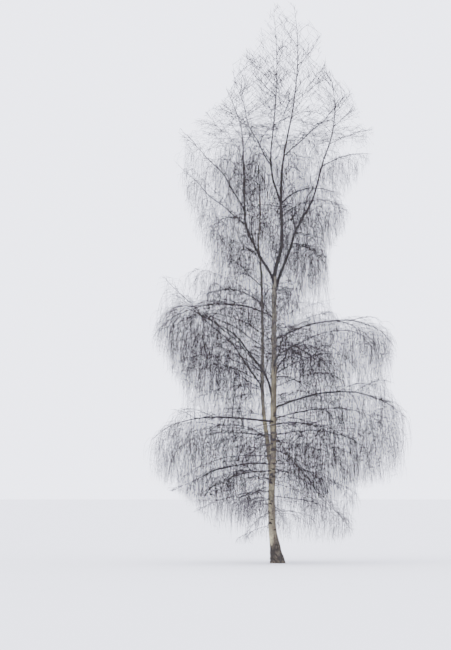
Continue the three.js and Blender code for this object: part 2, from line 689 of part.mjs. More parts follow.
// The twigs of one mass, as curves with their thickness and rings, by the rule: shoots leave the stem and its
// forks by turns to both sides and arch over, and straight twigs hang down from each of them
function growTwigs(limb) {
  const twigs = [];
  const owner = `${limb.name}_twigs`;

  function add(whole, thick, rings) {
    const share = shareInSpace(whole, limb.number);
    if (share < SHORTEST) return null;
    const { start, aim, length, carry } = whole;
    const curve = rings > 1
      ? new Fall(start, aim, length * share, carry / share)
      : new THREE.LineCurve3(start, whole.getPoint(share));
    if (!isClear(curve, thick / 2, owner)) return null;
    if (rings === 1) {
      const [from, to] = [curve.getPoint(HANGING_UPPER), curve.getPoint(1)];
      if (!hasRoom(from, to)) return null;
      hung.push({ from, to });
    }
    twigs.push({ curve, thick, rings });
    return curve;
  }

  const onTrunk = limb.bare === 0 && limb.on !== 'tip';
  const first = onTrunk ? TRUNK_MARGIN / limb.length : SHOOT_PLACES[0];
  const carriers = [{ curve: limb.stem, rings: STEM_RINGS, first }];
  for (const curve of limb.branches) {
    twigs.push({ curve, thick: TWIG_THICKNESS * FORK_GIRTH, rings: TWIG_RINGS });
    carriers.push({ curve, rings: TWIG_RINGS, first: FORK_MARGIN });
  }
  for (const [part, carrier] of carriers.entries()) {
    const count = Math.max(1, Math.round(carrier.curve.getLength() / SHOOT_SPACING));
    for (let i = 0; i < count; i += 1) {
      const chance = (use, turn = 0) => draw(limb.number, part, i, use, turn);
      const share = between(carrier.first, SHOOT_PLACES[1], (i + between(...SHOOT_JITTER, chance(1))) / count);
      const side = i % 2 ? 1 : -1;
      const along = carrier.curve.getTangentAt(share);
      const heading = THREE.MathUtils.radToDeg(Math.atan2(along.y, along.x));
      const turned = heading + side * between(...SHOOT_SPREAD, chance(2));
      const foot = middleOf(carrier.curve, carrier.rings, share);
      const upright = uprightness(foot.z);
      const aim = direction(turned, between(...SHOOT_LIFT, chance(3)) + UPRIGHT_SHOOT_LIFT * upright);
      const length = limb.weep * between(...SHOOT_LENGTH, chance(4)) * between(...SHOOT_FADE, share);
      const shoot = add(new Fall(foot, aim, length, SHOOT_CARRY), TWIG_THICKNESS, TWIG_RINGS);
      if (!shoot) continue;
      const before = twigs.length;
      for (let k = 0; k < HANGING; k += 1) {
        const root = middleOf(shoot, TWIG_RINGS, between(...HANG_PLACES, (k + chance(5, k)) / HANGING));
        const swing = turned + (k % 2 ? HANG_SWING : -HANG_SWING) * chance(6, k);
        const hang = limb.weep * between(...HANG_LENGTH, chance(7, k));
        const lifted = direction(swing, HANG_LIFT + UPRIGHT_HANG_LIFT * upright);
        const carry = between(HANG_CARRY, UPRIGHT_CARRY, upright);
        add(new Fall(root, lifted, hang, carry), TWIG_THICKNESS * HANGING_GIRTH, 1);
      }
      if (twigs.length === before) twigs.pop();
    }
  }
  return twigs;
}

// One mass: its stem with its twigs joined on
function massBody(limb) {
  const owner = `${limb.name}_twigs`;
  const thickness = (share) => limb.radius(between(limb.first, 1, share));
  let body = tube(limb.stem, thickness, STEM_SIDES, STEM_RINGS, true);
  for (const { curve, thick, rings } of growTwigs(limb)) {
    keepClearOf(curve, () => thick / 2, CLEAR_PLACES, owner);
    const radius = (share) => between(thick, thick * TWIG_TIP, share) / 2;
    body = body.add(tube(curve, radius, TWIG_SIDES, rings, true));
  }
  return limb.bare > 0 ? body : body.subtract(swollen.get(limb.from));
}

for (const limb of LIMBS) {
  bodies.set(`${limb.name}_twigs`, { body: massBody(limb), bark: TWIG_BARK });
}

const tree = new THREE.Group();
for (const [name, { body, bark }] of bodies) {
  const mesh = new THREE.Mesh(geometryOf(body), bark.clone());
  mesh.name = name;
  tree.add(mesh);
}

export default tree;
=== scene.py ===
import json
import math
from collections import namedtuple

import bpy
import numpy as np
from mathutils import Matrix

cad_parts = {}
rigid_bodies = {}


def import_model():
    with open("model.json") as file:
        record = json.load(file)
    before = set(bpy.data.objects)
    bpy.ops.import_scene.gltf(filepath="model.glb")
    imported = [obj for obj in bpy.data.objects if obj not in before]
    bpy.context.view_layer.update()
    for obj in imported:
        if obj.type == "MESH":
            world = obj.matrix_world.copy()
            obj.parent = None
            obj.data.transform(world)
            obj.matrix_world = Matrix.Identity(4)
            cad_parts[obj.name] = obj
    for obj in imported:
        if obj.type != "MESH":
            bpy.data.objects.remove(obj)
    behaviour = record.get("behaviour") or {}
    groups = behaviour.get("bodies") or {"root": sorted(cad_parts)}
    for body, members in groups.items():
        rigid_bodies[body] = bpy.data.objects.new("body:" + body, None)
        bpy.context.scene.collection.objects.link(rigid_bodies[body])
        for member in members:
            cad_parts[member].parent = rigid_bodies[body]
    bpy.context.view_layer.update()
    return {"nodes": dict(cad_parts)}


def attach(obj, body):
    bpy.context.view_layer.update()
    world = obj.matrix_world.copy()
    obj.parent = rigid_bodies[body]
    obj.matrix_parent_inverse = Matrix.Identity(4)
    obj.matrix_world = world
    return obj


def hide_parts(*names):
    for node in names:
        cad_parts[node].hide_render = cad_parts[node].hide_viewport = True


# A silver birch without its leaves, life size. Z is up, X runs to the right and Y away from the side that
# the tree is looked at from. The stems, the limbs and the rule of the twigs are those of the solid model,
# written again here and carried on to finer twigs. The tables of stems and limbs, the thickness of the forks
# and the crown's outline are in millimetres, and all other sizes in metres.

MM = 0.001
TIP = -1

Stem = namedtuple("Stem", "thick thin line")
Limb = namedtuple("Limb", "parent on heading reach rise leave end thick weep forks full", defaults=[(), 1])
Fork = namedtuple("Fork", "on heading reach rise leave end")
Twigs = namedtuple("Twigs", "path thick thin weep full seed spray")

TRUNK_HEIGHT = 6900
TRUNK_LINE = [
    [0, 0, 0], [-44, 8, 340], [-112, 16, 800], [-137, 12, 1500], [-97, -8, 2700], [-77, 2, 4300],
    [-55, 15, 6900],
]
STEMS = {
    "second_stem": Stem(118, 34, [
        [-118, 0, 2080], [-172, 105, 2430], [-232, 200, 2930], [-300, 245, 3450], [-346, 262, 4150],
        [-338, 268, 4900], [-348, 280, 6300], [-388, 290, 7250], [-442, 300, 7680], [-398, 312, 8150],
        [-404, 320, 9000],
    ]),
    "centre_leader": Stem(98, 34, [
        [-56, 15, 6820], [-40, 12, 6980], [22, 2, 7240], [108, -20, 7560], [122, -32, 8000], [108, -45, 8600],
        [130, -80, 9430], [192, -105, 9910], [270, -120, 10300], [384, -140, 10850],
    ]),
    "left_leader": Stem(74, 32, [
        [-57, 14, 6560], [-110, -22, 6860], [-350, -85, 7260], [-505, -120, 7540], [-652, -150, 7850],
        [-748, -172, 8120], [-772, -200, 8500], [-792, -245, 9430], [-815, -262, 10000],
    ]),
    "right_leader": Stem(80, 36, [
        [-58, 14, 6400], [-12, 24, 6650], [216, 72, 7270], [338, 92, 7590], [436, 112, 7930],
        [580, 142, 8220], [868, 190, 8750], [1036, 220, 9320], [1156, 240, 9780],
    ]),
    "centre_left_leader": Stem(54, 28, [
        [108, -45, 8540], [88, 12, 8700], [-2, 70, 8980], [-108, 120, 9390], [-132, 150, 9960],
        [-84, 170, 10400], [-24, 180, 11050],
    ]),
}

# The limbs. 'on' is the height where a limb leaves its parent, or TIP. 'heading' turns from the right of
# the view (0) to the back (90), the left (180) and the front (270). 'reach' is level, 'rise' upright, and
# 'leave' and 'end' are its slopes. 'thick' is its thickness at the root, 'weep' is how long its hanging
# twigs are, and 'full' how many twigs it bears. A fork leaves the limb at the share 'on' of it.
LIMBS = [
    Limb("trunk", 3384, 183, 2970, -500, 4, -46, 50, 1500, [
        Fork(0.6, 160, 900, 120, 35, -40),
        Fork(0.45, 208, 1000, 60, 20, -45),
    ], 2.4),
    Limb("second_stem", 2990, 142, 2350, 200, 34, -8, 34, 1100, [
        Fork(0.34, 100, 1050, 420, 36, -30),
        Fork(0.6, 182, 1100, -60, 14, -34),
    ], 1.6),
    Limb("trunk", 2350, 176, 2440, -650, 8, -27, 36, 900, [Fork(0.4, 138, 1100, -350, 0, -30)], 2),
    Limb("trunk", 2190, 216, 2600, -880, 2, -34, 34, 1000, [
        Fork(0.22, 232, 900, 260, 40, -10),
        Fork(0.15, 268, 1450, -500, 5, -40),
    ], 2),
    Limb("second_stem", 4180, 177, 2440, 2800, 62, 50, 44, 2000, [Fork(0.62, 150, 1000, 500, 30, -25)], 1.8),
    Limb("trunk", 3744, 190, 2250, 2380, 82, 20, 60, 2000, [Fork(0.66, 215, 950, 150, 20, -35)], 1.6),
    Limb("trunk", 5880, 176, 2990, -540, 30, -58, 40, 2100, [Fork(0.58, 150, 900, -150, 10, -55)], 2.6),
    Limb("second_stem", 4560, 234, 2250, 700, 30, 20, 30, 1600, full=1.4),
    Limb("second_stem", 6210, 140, 1850, 370, 40, -14, 32, 1500, [Fork(0.32, 98, 950, 60, 24, -44)], 2),
    Limb("second_stem", 6640, 234, 1790, 1200, 30, 58, 28, 1200, full=1.8),
    Limb("left_leader", 8110, 186, 1760, 1560, 36, 44, 32, 1200, full=1.6),
    Limb("left_leader", 8430, 170, 1660, 2000, 64, 38, 34, 1000, [Fork(0.78, 200, 420, 420, 60, 50)], 1.6),
    Limb("left_leader", 8230, 230, 1640, -700, 8, -56, 26, 1200, full=1.8),
    Limb("left_leader", TIP, 184, 440, 1480, 90, 66, 30, 900, [Fork(0.1, 140, 560, 760, 48, 60)], 2.2),
    Limb("second_stem", TIP, 120, 330, 1500, 86, 72, 24, 1000, [Fork(0.2, 110, 900, 600, 40, 20)], 1),
    Limb("centre_left_leader", 9600, 164, 1020, 2540, 56, 72, 30, 900, [
        Fork(0.7, 60, 260, 460, 50, 62),
    ], 1.8),
    Limb("centre_left_leader", TIP, 170, 40, 2460, 94, 84, 26, 850, [
        Fork(0.1, 150, 680, 860, 40, 66),
        Fork(0.2, 205, 620, 640, 38, 52),
        Fork(0.42, 70, 480, 620, 42, 60),
    ], 2),
    Limb("centre_leader", TIP, 0, 10, 2780, 82, 101, 32, 800, [
        Fork(0.08, 338, 880, 560, 38, 24),
        Fork(0.43, 12, 620, 840, 42, 60),
        Fork(0.58, 205, 430, 560, 42, 56),
        Fork(0.3, 285, 640, 620, 36, 56),
    ], 2.2),
    Limb("centre_leader", 9780, 24, 1640, 1590, 44, 52, 32, 900, full=2.2),
    Limb("centre_leader", 8620, 320, 2000, -400, 46, -76, 32, 1300, full=2),
    Limb("right_leader", TIP, 350, 130, 2260, 66, 104, 34, 850, [
        Fork(0.16, 352, 1080, 320, 26, 2),
        Fork(0.36, 24, 580, 620, 36, 62),
        Fork(0.5, 316, 560, 560, 36, 58),
    ], 2.4),
    Limb("right_leader", 9600, 6, 1260, 320, 30, -6, 26, 900, full=2.4),
    Limb("right_leader", 7680, 306, 1600, -1300, -4, -86, 28, 1400, full=2),
    Limb("trunk", 5330, 355, 2850, -150, 30, -60, 42, 1600, [
        Fork(0.46, 350, 1180, -760, -8, -48),
        Fork(0.62, 22, 900, -80, 14, -60),
    ], 3.4),
    Limb("trunk", 5160, 52, 2280, -960, 16, -72, 32, 1400, full=1.6),
    Limb("trunk", 3700, 358, 3230, -330, 24, -52, 48, 1600, [
        Fork(0.56, 22, 1200, 120, 34, -50),
        Fork(0.45, 334, 1000, 60, 20, -45),
        Fork(0.74, 18, 750, -330, -6, -50),
    ], 3),
    Limb("trunk", 3320, 38, 2550, -320, 6, -20, 34, 1300, [
        Fork(0.45, 8, 900, 140, 18, -8),
        Fork(0.66, 2, 1050, -180, 4, -30),
    ], 1.8),
    Limb("trunk", 3560, 296, 2200, -720, -14, -60, 30, 1300, full=0.8),
    Limb("trunk", 3120, 348, 2010, -2440, -56, -46, 30, 1000, [Fork(0.36, 318, 1300, -50, 20, -40)], 1.2),
    Limb("trunk", 2260, 56, 2150, -560, -6, -24, 28, 1000, [Fork(0.3, 98, 1150, -250, 10, -40)], 1.2),
    Limb("trunk", 2900, 262, 2700, -420, 14, -42, 36, 1300, full=0.9),
    Limb("trunk", 4700, 284, 2500, 650, 42, -20, 40, 1500, [
        Fork(0.55, 245, 1000, 120, 24, -46),
        Fork(0.4, 325, 900, 420, 54, 0),
    ], 0.6),
    Limb("trunk", 2800, 84, 2700, -380, 12, -44, 36, 1300, full=0.9),
    Limb("trunk", 4400, 68, 2550, 900, 44, -16, 40, 1500, [
        Fork(0.55, 110, 1100, 160, 24, -46),
        Fork(0.38, 132, 1050, 260, 32, -30),
    ], 0.6),
    Limb("left_leader", 7640, 262, 2000, 950, 46, 4, 32, 1500, [Fork(0.35, 330, 1000, 100, 30, -40)], 1.4),
    Limb("right_leader", 8000, 96, 2050, 1000, 46, 6, 32, 1500, [
        Fork(0.35, 170, 1100, 60, 24, -44),
        Fork(0.22, 122, 900, -420, -10, -60),
    ], 1.4),
]

# Smaller limbs between them, which the solid model leaves out
SMALL_LIMBS = [
    Limb("trunk", 2832, 235, 1250, -600, 0, -60, 20, 700),
    Limb("trunk", 2664, 130, 1710, -768, -30, -40, 20, 600),
    Limb("trunk", 1968, 235, 1400, 0, 15, -10, 20, 500),
    Limb("trunk", 1848, 120, 1520, -408, -8, -20, 20, 500),
    Limb("trunk", 1512, 215, 976, -312, 0, -30, 18, 450),
    Limb("trunk", 1224, 200, 680, -552, -20, -50, 16, 300),
    Limb("trunk", 912, 160, 860, -312, -10, -25, 14, 250),
    Limb("trunk", 3360, 205, 1600, -600, -10, -25, 22, 700),
    Limb("trunk", 5112, 300, 1400, -384, 0, -45, 22, 900),
    Limb("trunk", 4464, 50, 1540, -480, 5, -45, 22, 900),
    Limb("trunk", 2712, 340, 1383, -528, -15, -5, 20, 600),
    Limb("trunk", 2352, 300, 1400, -120, 5, -15, 20, 600),
    Limb("trunk", 1920, 40, 1475, -480, -10, -25, 20, 500),
    Limb("trunk", 1248, 20, 1130, -168, 0, -20, 16, 400),
    Limb("trunk", 6384, 345, 650, 144, 50, -30, 16, 500),
    Limb("trunk", 5904, 35, 900, 360, 50, -20, 20, 700),
    Limb("second_stem", 4176, 200, 1405, 984, 25, 50, 22, 900),
    Limb("second_stem", 2976, 165, 1860, 216, 34, -5, 20, 700),
    Limb("left_leader", 9552, 150, 693, 1200, 75, 62, 16, 350),
    Limb("left_leader", 7344, 240, 1250, 0, 20, -20, 20, 700),
    Limb("centre_leader", 9888, 240, 860, 312, 30, 10, 16, 400),
    Limb("centre_leader", 10800, 130, 380, 312, 50, 30, 12, 300),
    Limb("centre_leader", 10704, 20, 970, 0, 45, -50, 14, 350),
    Limb("centre_left_leader", 11040, 200, 290, 430, 60, 50, 12, 250),
    Limb("right_leader", 8352, 290, 1000, 1056, 80, 60, 20, 500),
    Limb("trunk", 2080, 262, 1700, -300, 5, -35, 22, 900),
    Limb("trunk", 1980, 98, 1700, -300, 5, -35, 22, 900),
    Limb("trunk", 1700, 190, 1900, -500, 0, -30, 22, 700),
    Limb("trunk", 1600, 350, 1700, -450, -5, -30, 22, 700),
    Limb("trunk", 1400, 250, 1300, -250, 5, -30, 18, 600),
    Limb("trunk", 1350, 80, 1300, -250, 5, -30, 18, 600),
    Limb("trunk", 3000, 200, 2500, -350, 8, -40, 26, 1200, full=1.8),
    Limb("trunk", 2550, 195, 2200, -500, 4, -36, 24, 1000, full=1.8),
    Limb("trunk", 3450, 8, 2800, -250, 15, -45, 30, 1500, full=2.4),
    Limb("trunk", 3050, 20, 2300, -300, 10, -40, 26, 1200, full=1.8),
    Limb("second_stem", 4700, 188, 2300, 1300, 40, -20, 30, 1900),
    Limb("second_stem", 5200, 165, 2100, 600, 35, -40, 28, 1900),
    Limb("trunk", 5300, 200, 2300, 300, 35, -50, 28, 1900),
    Limb("trunk", 4900, 10, 2500, 300, 35, -55, 30, 1500, full=2),
    Limb("trunk", 4500, 345, 2000, 200, 30, -50, 26, 1400),
    Limb("second_stem", 4350, 205, 1900, 250, 20, -30, 22, 1100, full=2),
    Limb("second_stem", 4900, 196, 2050, 350, 25, -35, 24, 1600, full=2.4),
    Limb("second_stem", 4600, 166, 2000, 250, 20, -35, 24, 1300, full=2.4),
    Limb("trunk", 4200, 340, 1700, 100, 20, -45, 22, 1100, full=2),
    Limb("trunk", 4750, 14, 1700, 250, 25, -50, 22, 1300, full=2),
    Limb("left_leader", 9900, 330, 420, 520, 66, 20, 14, 1300, full=3),
    Limb("left_leader", 9400, 30, 480, 420, 60, -20, 14, 1400, full=3),
    Limb("left_leader", 8900, 300, 450, 300, 50, -30, 14, 1300, full=3),
    Limb("centre_left_leader", 9700, 220, 520, 300, 50, -30, 14, 1300, full=3),
    Limb("centre_leader", 9300, 330, 620, 420, 55, -30, 14, 1300, full=3),
    Limb("centre_leader", 8300, 345, 1500, 120, 45, -60, 20, 1400, full=3),
    Limb("right_leader", 7900, 300, 750, -250, 8, -60, 20, 1500, full=3),
    Limb("right_leader", 7600, 20, 700, -200, 12, -60, 20, 1500, full=3),
]

# The crown's outline: how far its twigs reach to the left and to the right at a height. Its depth is a share
# of its width. Twigs and limbs end at a share of its reach, drawn between the two values of an edge, and none
# of them goes below LOWEST_TWIG
CROWN = np.array([
    [0, 900, 900], [600, 1400, 1900], [1650, 2550, 2050], [1900, 3230, 3270], [2900, 3200, 3270],
    [3500, 2650, 3220], [4000, 2350, 2950], [4400, 2700, 2850], [5200, 3120, 3000], [5800, 3060, 2850],
    [6200, 2960, 1450], [6950, 3000, 1330], [7350, 1950, 1380], [7800, 2050, 1750], [8700, 2380, 1900],
    [9700, 2500, 2400], [10400, 2420, 2450], [11300, 1280, 1950], [12120, 1120, 1250], [12960, 420, 1100],
    [13620, 110, 430],
]) * MM
CROWN_DEPTH = 0.88
TWIG_EDGE = (0.9, 1.01)
LIMB_EDGE = (1, 1.03)
LOWEST_TWIG = 0.42

# Limbs: how fast they taper, how far the handles of their curves reach, and how they sway and swell
TIP_SHARE = 0.16
LIMB_TAPER = 1.5
STEM_TAPER = 0.9
HANDLE = 0.38
SWAY = 0.012
SWAY_TURNS = (5, 4)
LIMB_TIP = 0.004
FORK_THICKNESS = 18
FORK_SEED = 1000
MOST_FORKS = 8
CURVE_STEPS = 40
LIMB_POINTS = 37
STEM_POINTS = 161
FOOT_SWELL = 0.7
FOOT_LENGTH = 0.05
KNOT_SWELL = 0.3
KNOT_LENGTH = 0.11
KNOT_LANE = 50
KNOTS_AROUND = 3

# Small limbs that fill the crown between the traced ones, all round each stem. Where a pair belongs to low
# and high limbs, FILL_UPPER gives the heights between which one turns into the other
FILL_ON_TRUNK = (1.1, 6.6)
FILL_ABOVE_FOOT = 0.4
FILL_SPACING = (0.19, 0.34)
FILL_SPACING_HEIGHTS = (1, 8)
FILL_UPPER = (3.5, 8.5)
FILL_HEADING = 60
FILL_HEADING_DRAW = 40
FILL_REACH = (0.4, 0.9)
FILL_AIM = 0.6
FILL_SHORTER = (1, 0.7)
FILL_LONGEST = 2.1
FILL_LEAVE = (8, 50)
FILL_END = (-35, 30)
FILL_SLOPE_DRAW = 20
FILL_WEEP = (1.1, 0.8)
FILL_LOW = 2.4
FILL_LOW_WEEP = 0.7
FILL_FULLNESS = 1.6
FILL_THICKNESS = 0.011
FILL_SEED = 2000
FILL_USES = 77
MOST_FILLING = 100

# The rule of the twigs. Of most pairs a seeded draw gives a value between them, and a pair named FADE is for
# the foot and the tip of the carrier. A STRETCH is the part of the carrier that the twigs leave from
CROWDING = 0.3
JITTER = (0.15, 0.85)
GOLDEN_ANGLE = 137.5
STEEP = 0.86
SHORTEST = 0.15
WIGGLE = 0.03
WIGGLE_TURNS = (0.5, 1.4)
BRANCH_SPACING = 0.28
BRANCH_STRETCH = (0.14, 0.97)
BRANCH_SPREAD = (28, 62)
BRANCH_SLOPES = (-35, 58)
BRANCH_LIFT = (-8, 22)
BRANCH_LENGTH = (0.22, 0.42)
BRANCH_FADE = (1.15, 0.55)
BRANCH_LONGEST = 1.15
BRANCH_CARRY = 1.4
SHOOT_SPACING = 0.16
SHOOT_STRETCH = (0.1, 0.99)
SHOOT_SPREAD = (30, 70)
SHOOT_LIFT = (2, 44)
SHOOT_CARRY = 0.7
SHOOT_LENGTH = (0.36, 0.74)
SHOOT_FADE = (1.15, 0.7)
HANG_SPACING = 0.085
HANG_ON_SHOOTS = (0.12, 1)
HANG_ON_BRANCHES = (0.1, 1)
HANG_ON_LIMBS = (0.25, 1)
HANG_SPREAD = (12, 85)
HANG_LIFT = 12
HANG_CARRY = 0.3
HANG_LENGTH = (0.75, 1.35)
HANG_FADE = (1, 0.85)
LOWER_SPACING = 0.3
LOWER_STRETCH = (0.35, 1)
LOWER_LENGTH = 0.75
TWIGLET_SPACING = 0.5
TWIGLET_STRETCH = (0.15, 0.98)
TWIGLET_SPREAD = (12, 32)
TWIGLET_TILT = 20
TWIGLET_LENGTH = (0.1, 0.4)
TWIGLET_CARRY = 0.4
BUD_SHARE = 0.1
BUD_SPACING = 9
BUD_STRETCH = (0.3, 1)
BUD_SPREAD = 0.6
BUD_LENGTH = 0.006

# Near the top the twigs stand up, and are fewer and stronger
UPRIGHT_HEIGHTS = (10, 11.3)
UPRIGHT_SHOOT_LIFT = 24
UPRIGHT_HANG_LIFT = 50
UPRIGHT_HANG_DRAW = (0.5, 1)
UPRIGHT_CARRY = 2.5
UPRIGHT_GIRTH = 0.6

# Each kind of twig has a number of its own among the draws
BRANCH, SHOOT, HANGING, TWIGLET, BUD = 6, 2, 3, 4, 5

# Where twigs crowd, some of them are left out. The room in a cell is the length of twigs that find light in
# it. It changes with the height, and there is less of it near the trunk
CELL = 0.35
ROOM = 6.5
ROOM_HEIGHTS = (1, 5.5, 7, 9, 10.5, 13)
ROOM_SHARES = (1, 1, 1.7, 1.5, 0.65, 0.15)
ROOM_INSIDE = 0.3
INSIDE = (0.2, 1.1)
INSIDE_FRONT = 0.4
INSIDE_TOP = 4.5
MOST_ROOM = 1.3

# Where the crown is denser or more open than the rule makes it: a place to the right and up, its half width
# and half height, and the room there as a share of the usual
DENSER_OR_OPEN = [
    (-0.15, 7.9, 0.4, 0.5, 0.5),
    (0.8, 7.1, 0.55, 0.9, 1.5),
    (-0.6, 9.6, 0.35, 1.0, 1.6),
    (-1.15, 9.5, 0.3, 0.4, 0.7),
    (0.5, 9.4, 0.4, 0.8, 1.4),
    (-0.95, 6.4, 0.6, 0.25, 0.6),
    (-1.8, 4.6, 0.5, 0.7, 1.3),
    (0.9, 5.0, 0.5, 0.5, 1.2),
    (-2.2, 5.8, 0.4, 0.4, 0.65),
    (2.0, 9.5, 0.4, 0.5, 0.6),
    (-0.95, 1.7, 0.6, 0.5, 1.5),
    (0.9, 1.9, 0.8, 0.6, 1.4),
]
SHOOT_ROOM = 0.16
BRANCH_ROOM = 0.2

# Thicknesses at both ends
BRANCH_THICKNESS = (0.013, 0.005)
SHOOT_THICKNESS = (0.0065, 0.0037)
HANG_THICKNESS = (0.0055, 0.0037)
TWIGLET_THICKNESS = (0.004, 0.0018)
BUD_THICKNESS = 0.003

# Twigs are drawn with some of the points of their paths, and with a few sides
SHOOT_DRAWN = [0, 1, 2, 4, 6]
LONG_DRAWN = [0, 1, 2, 3, 5]
SHORT_DRAWN = [0, 2, 5]
SHORT_HANGING = 0.6
BRANCH_SIDES = 4
TWIG_SIDES = 3

# The sprays of twigs are dealt out to this many tones of bark
TONES = 5


def mixed(*keys):
    """Whole numbers of 32 bits that depend only on the whole numbers given. For each of these in turn,
    m = (m ^ key) * 16777619, m = m ^ (m >> 13), m = m * 1540483477 and m = m ^ (m >> 15)."""
    keys = np.broadcast_arrays(*[np.asarray(key, dtype=np.uint32) for key in keys])
    m = np.full(keys[0].shape, 2166136261, dtype=np.uint32)
    with np.errstate(over="ignore"):
        for key in keys:
            m = (m ^ key) * np.uint32(16777619)
            m = m ^ (m >> np.uint32(13))
            m = m * np.uint32(1540483477)
            m = m ^ (m >> np.uint32(15))
    return m


def draws(*keys):
    """Seeded numbers between 0 and 1. The first key is a seed, and the last one tells its uses apart."""
    return mixed(*keys) / 2**32


def between(ends, share):
    """The value at a share of the way from one end to the other."""
    return ends[0] + (ends[1] - ends[0]) * share


def unit(vectors):
    """The vectors, each made as long as 1."""
    return vectors / np.maximum(np.linalg.norm(vectors, axis=-1, keepdims=True), 1e-9)


def direction(heading, slope):
    """The direction (cos s cos h, cos s sin h, sin s) of a heading h and a slope s in degrees."""
    heading, slope = np.radians(heading), np.radians(slope)
    level = np.cos(slope)
    return np.stack([level * np.cos(heading), level * np.sin(heading), np.sin(slope) + 0 * level], axis=-1)


def evenly(path, count):
    """The path again, with points that stand evenly along its length."""
    steps = np.linalg.norm(np.diff(path, axis=0), axis=1)
    travelled = np.concatenate([[0], np.cumsum(steps)])
    wanted = np.linspace(0, travelled[-1], count)
    return np.stack([np.interp(wanted, travelled, path[:, axis]) for axis in range(3)], axis=1)


def smooth_line(places, count):
    """A curve through the places: cubics from p1 to p2 that leave p1 with the slope
    ((p1 - p0) / d0 - (p2 - p0) / (d0 + d1) + (p2 - p1) / d1) * d1, and reach p2 with its like. Each d is the
    root of the distance between two places."""
    p = np.array(places) * MM
    p = np.vstack([2 * p[0] - p[1], p, 2 * p[-1] - p[-2]])
    d = np.sqrt(np.linalg.norm(np.diff(p, axis=0), axis=1))[:, None]
    p0, p1, p2, p3 = p[:-3], p[1:-2], p[2:-1], p[3:]
    d0, d1, d2 = d[:-2], d[1:-1], d[2:]
    leaving = ((p1 - p0) / d0 - (p2 - p0) / (d0 + d1) + (p2 - p1) / d1) * d1
    arriving = ((p2 - p1) / d1 - (p3 - p1) / (d1 + d2) + (p3 - p2) / d2) * d1
    t = np.linspace(0, 1, CURVE_STEPS)[:, None, None]
    points = (2 * t**3 - 3 * t**2 + 1) * p1 + (t**3 - 2 * t**2 + t) * leaving
    points = points + (3 * t**2 - 2 * t**3) * p2 + (t**3 - t**2) * arriving
    return evenly(points.transpose(1, 0, 2).reshape(-1, 3), count)


def limb_path(foot, limb, sway_seed=None):
    """(1-t)^3 foot + 3 (1-t)^2 t leaving + 3 (1-t) t^2 arriving + t^3 tip, and, if it has a seed, a sway of
    about a hundredth of its length that is nothing at both ends."""
    tip = foot + direction(limb.heading, 0) * limb.reach * MM
    tip[2] += limb.rise * MM
    handle = np.linalg.norm(tip - foot) * HANDLE
    leaving = foot + direction(limb.heading, limb.leave) * handle
    arriving = tip - direction(limb.heading, limb.end) * handle
    t = np.linspace(0, 1, 4 * LIMB_POINTS)[:, None]
    path = (1 - t)**3 * foot + 3 * (1 - t)**2 * t * leaving + 3 * (1 - t) * t**2 * arriving + t**3 * tip
    path = evenly(path, LIMB_POINTS)
    if sway_seed is not None:
        along = np.linspace(0, 1, LIMB_POINTS)
        turn = 2 * math.pi * draws(sway_seed, 1)
        sway = path_length(path) * SWAY * np.sin(math.pi * along)
        path[:, 0] += sway * np.sin(SWAY_TURNS[0] * math.pi * along + turn)
        path[:, 1] += sway * np.sin(SWAY_TURNS[1] * math.pi * along + 2 * turn)
    return path


def path_length(paths):
    """The length of a path, or of each of many."""
    return np.linalg.norm(np.diff(paths, axis=-2), axis=-1).sum(axis=-1)


def at_height(path, height):
    """The point of a rising path at a height."""
    return np.array([np.interp(height, path[:, 2], path[:, axis]) for axis in range(3)])


def places_on(paths, which, share):
    """The place and the direction at a share of each chosen path."""
    steps = paths.shape[1] - 1
    ring = np.minimum((share * steps).astype(int), steps - 1)
    before, after = paths[which, ring], paths[which, ring + 1]
    return before + (after - before) * (share * steps - ring)[:, None], unit(after - before)


def crown_reach(places):
    """How far the crown reaches level with each place: its depth, blended into its reach to the left or the
    right by x² / (x² + y²)."""
    left = np.interp(places[..., 2], CROWN[:, 0], CROWN[:, 1])
    right = np.interp(places[..., 2], CROWN[:, 0], CROWN[:, 2])
    deep = CROWN_DEPTH * (left + right) / 2
    across = places[..., 0]**2 / (places[..., 0]**2 + places[..., 1]**2 + 1e-6)
    return deep + (np.where(places[..., 0] < 0, left, right) - deep) * across


def within_crown(twigs, edge=TWIG_EDGE):
    """The twigs cut back to the part of them that stays in the crown, without those that are left too short.
    Where they end is drawn between the edge's two shares of the crown's reach."""
    reach = crown_reach(twigs.path) * between(edge, draws(twigs.seed, 31))[:, None]
    level = np.hypot(twigs.path[..., 0], twigs.path[..., 1])
    inside = (level < reach) & (twigs.path[..., 2] > LOWEST_TWIG) & (twigs.path[..., 2] < CROWN[-1, 0])
    steps = twigs.path.shape[1] - 1
    share = np.maximum(np.cumprod(inside, axis=1).sum(axis=1) - 1, 0) / steps
    wanted = share[:, None] * np.linspace(0, steps, steps + 1)
    ring = np.minimum(wanted.astype(int), steps - 1)
    rows = np.arange(len(share))[:, None]
    before, after = twigs.path[rows, ring], twigs.path[rows, ring + 1]
    path = before + (after - before) * (wanted - ring)[..., None]
    keep = share > SHORTEST
    return chosen(twigs._replace(path=path), keep)


def chosen(twigs, keep):
    """Those twigs that are to be kept."""
    return Twigs(*[values[keep] for values in twigs])


def joined(*families):
    """Several families of twigs as one."""
    return Twigs(*[np.concatenate(values) for values in zip(*families)])


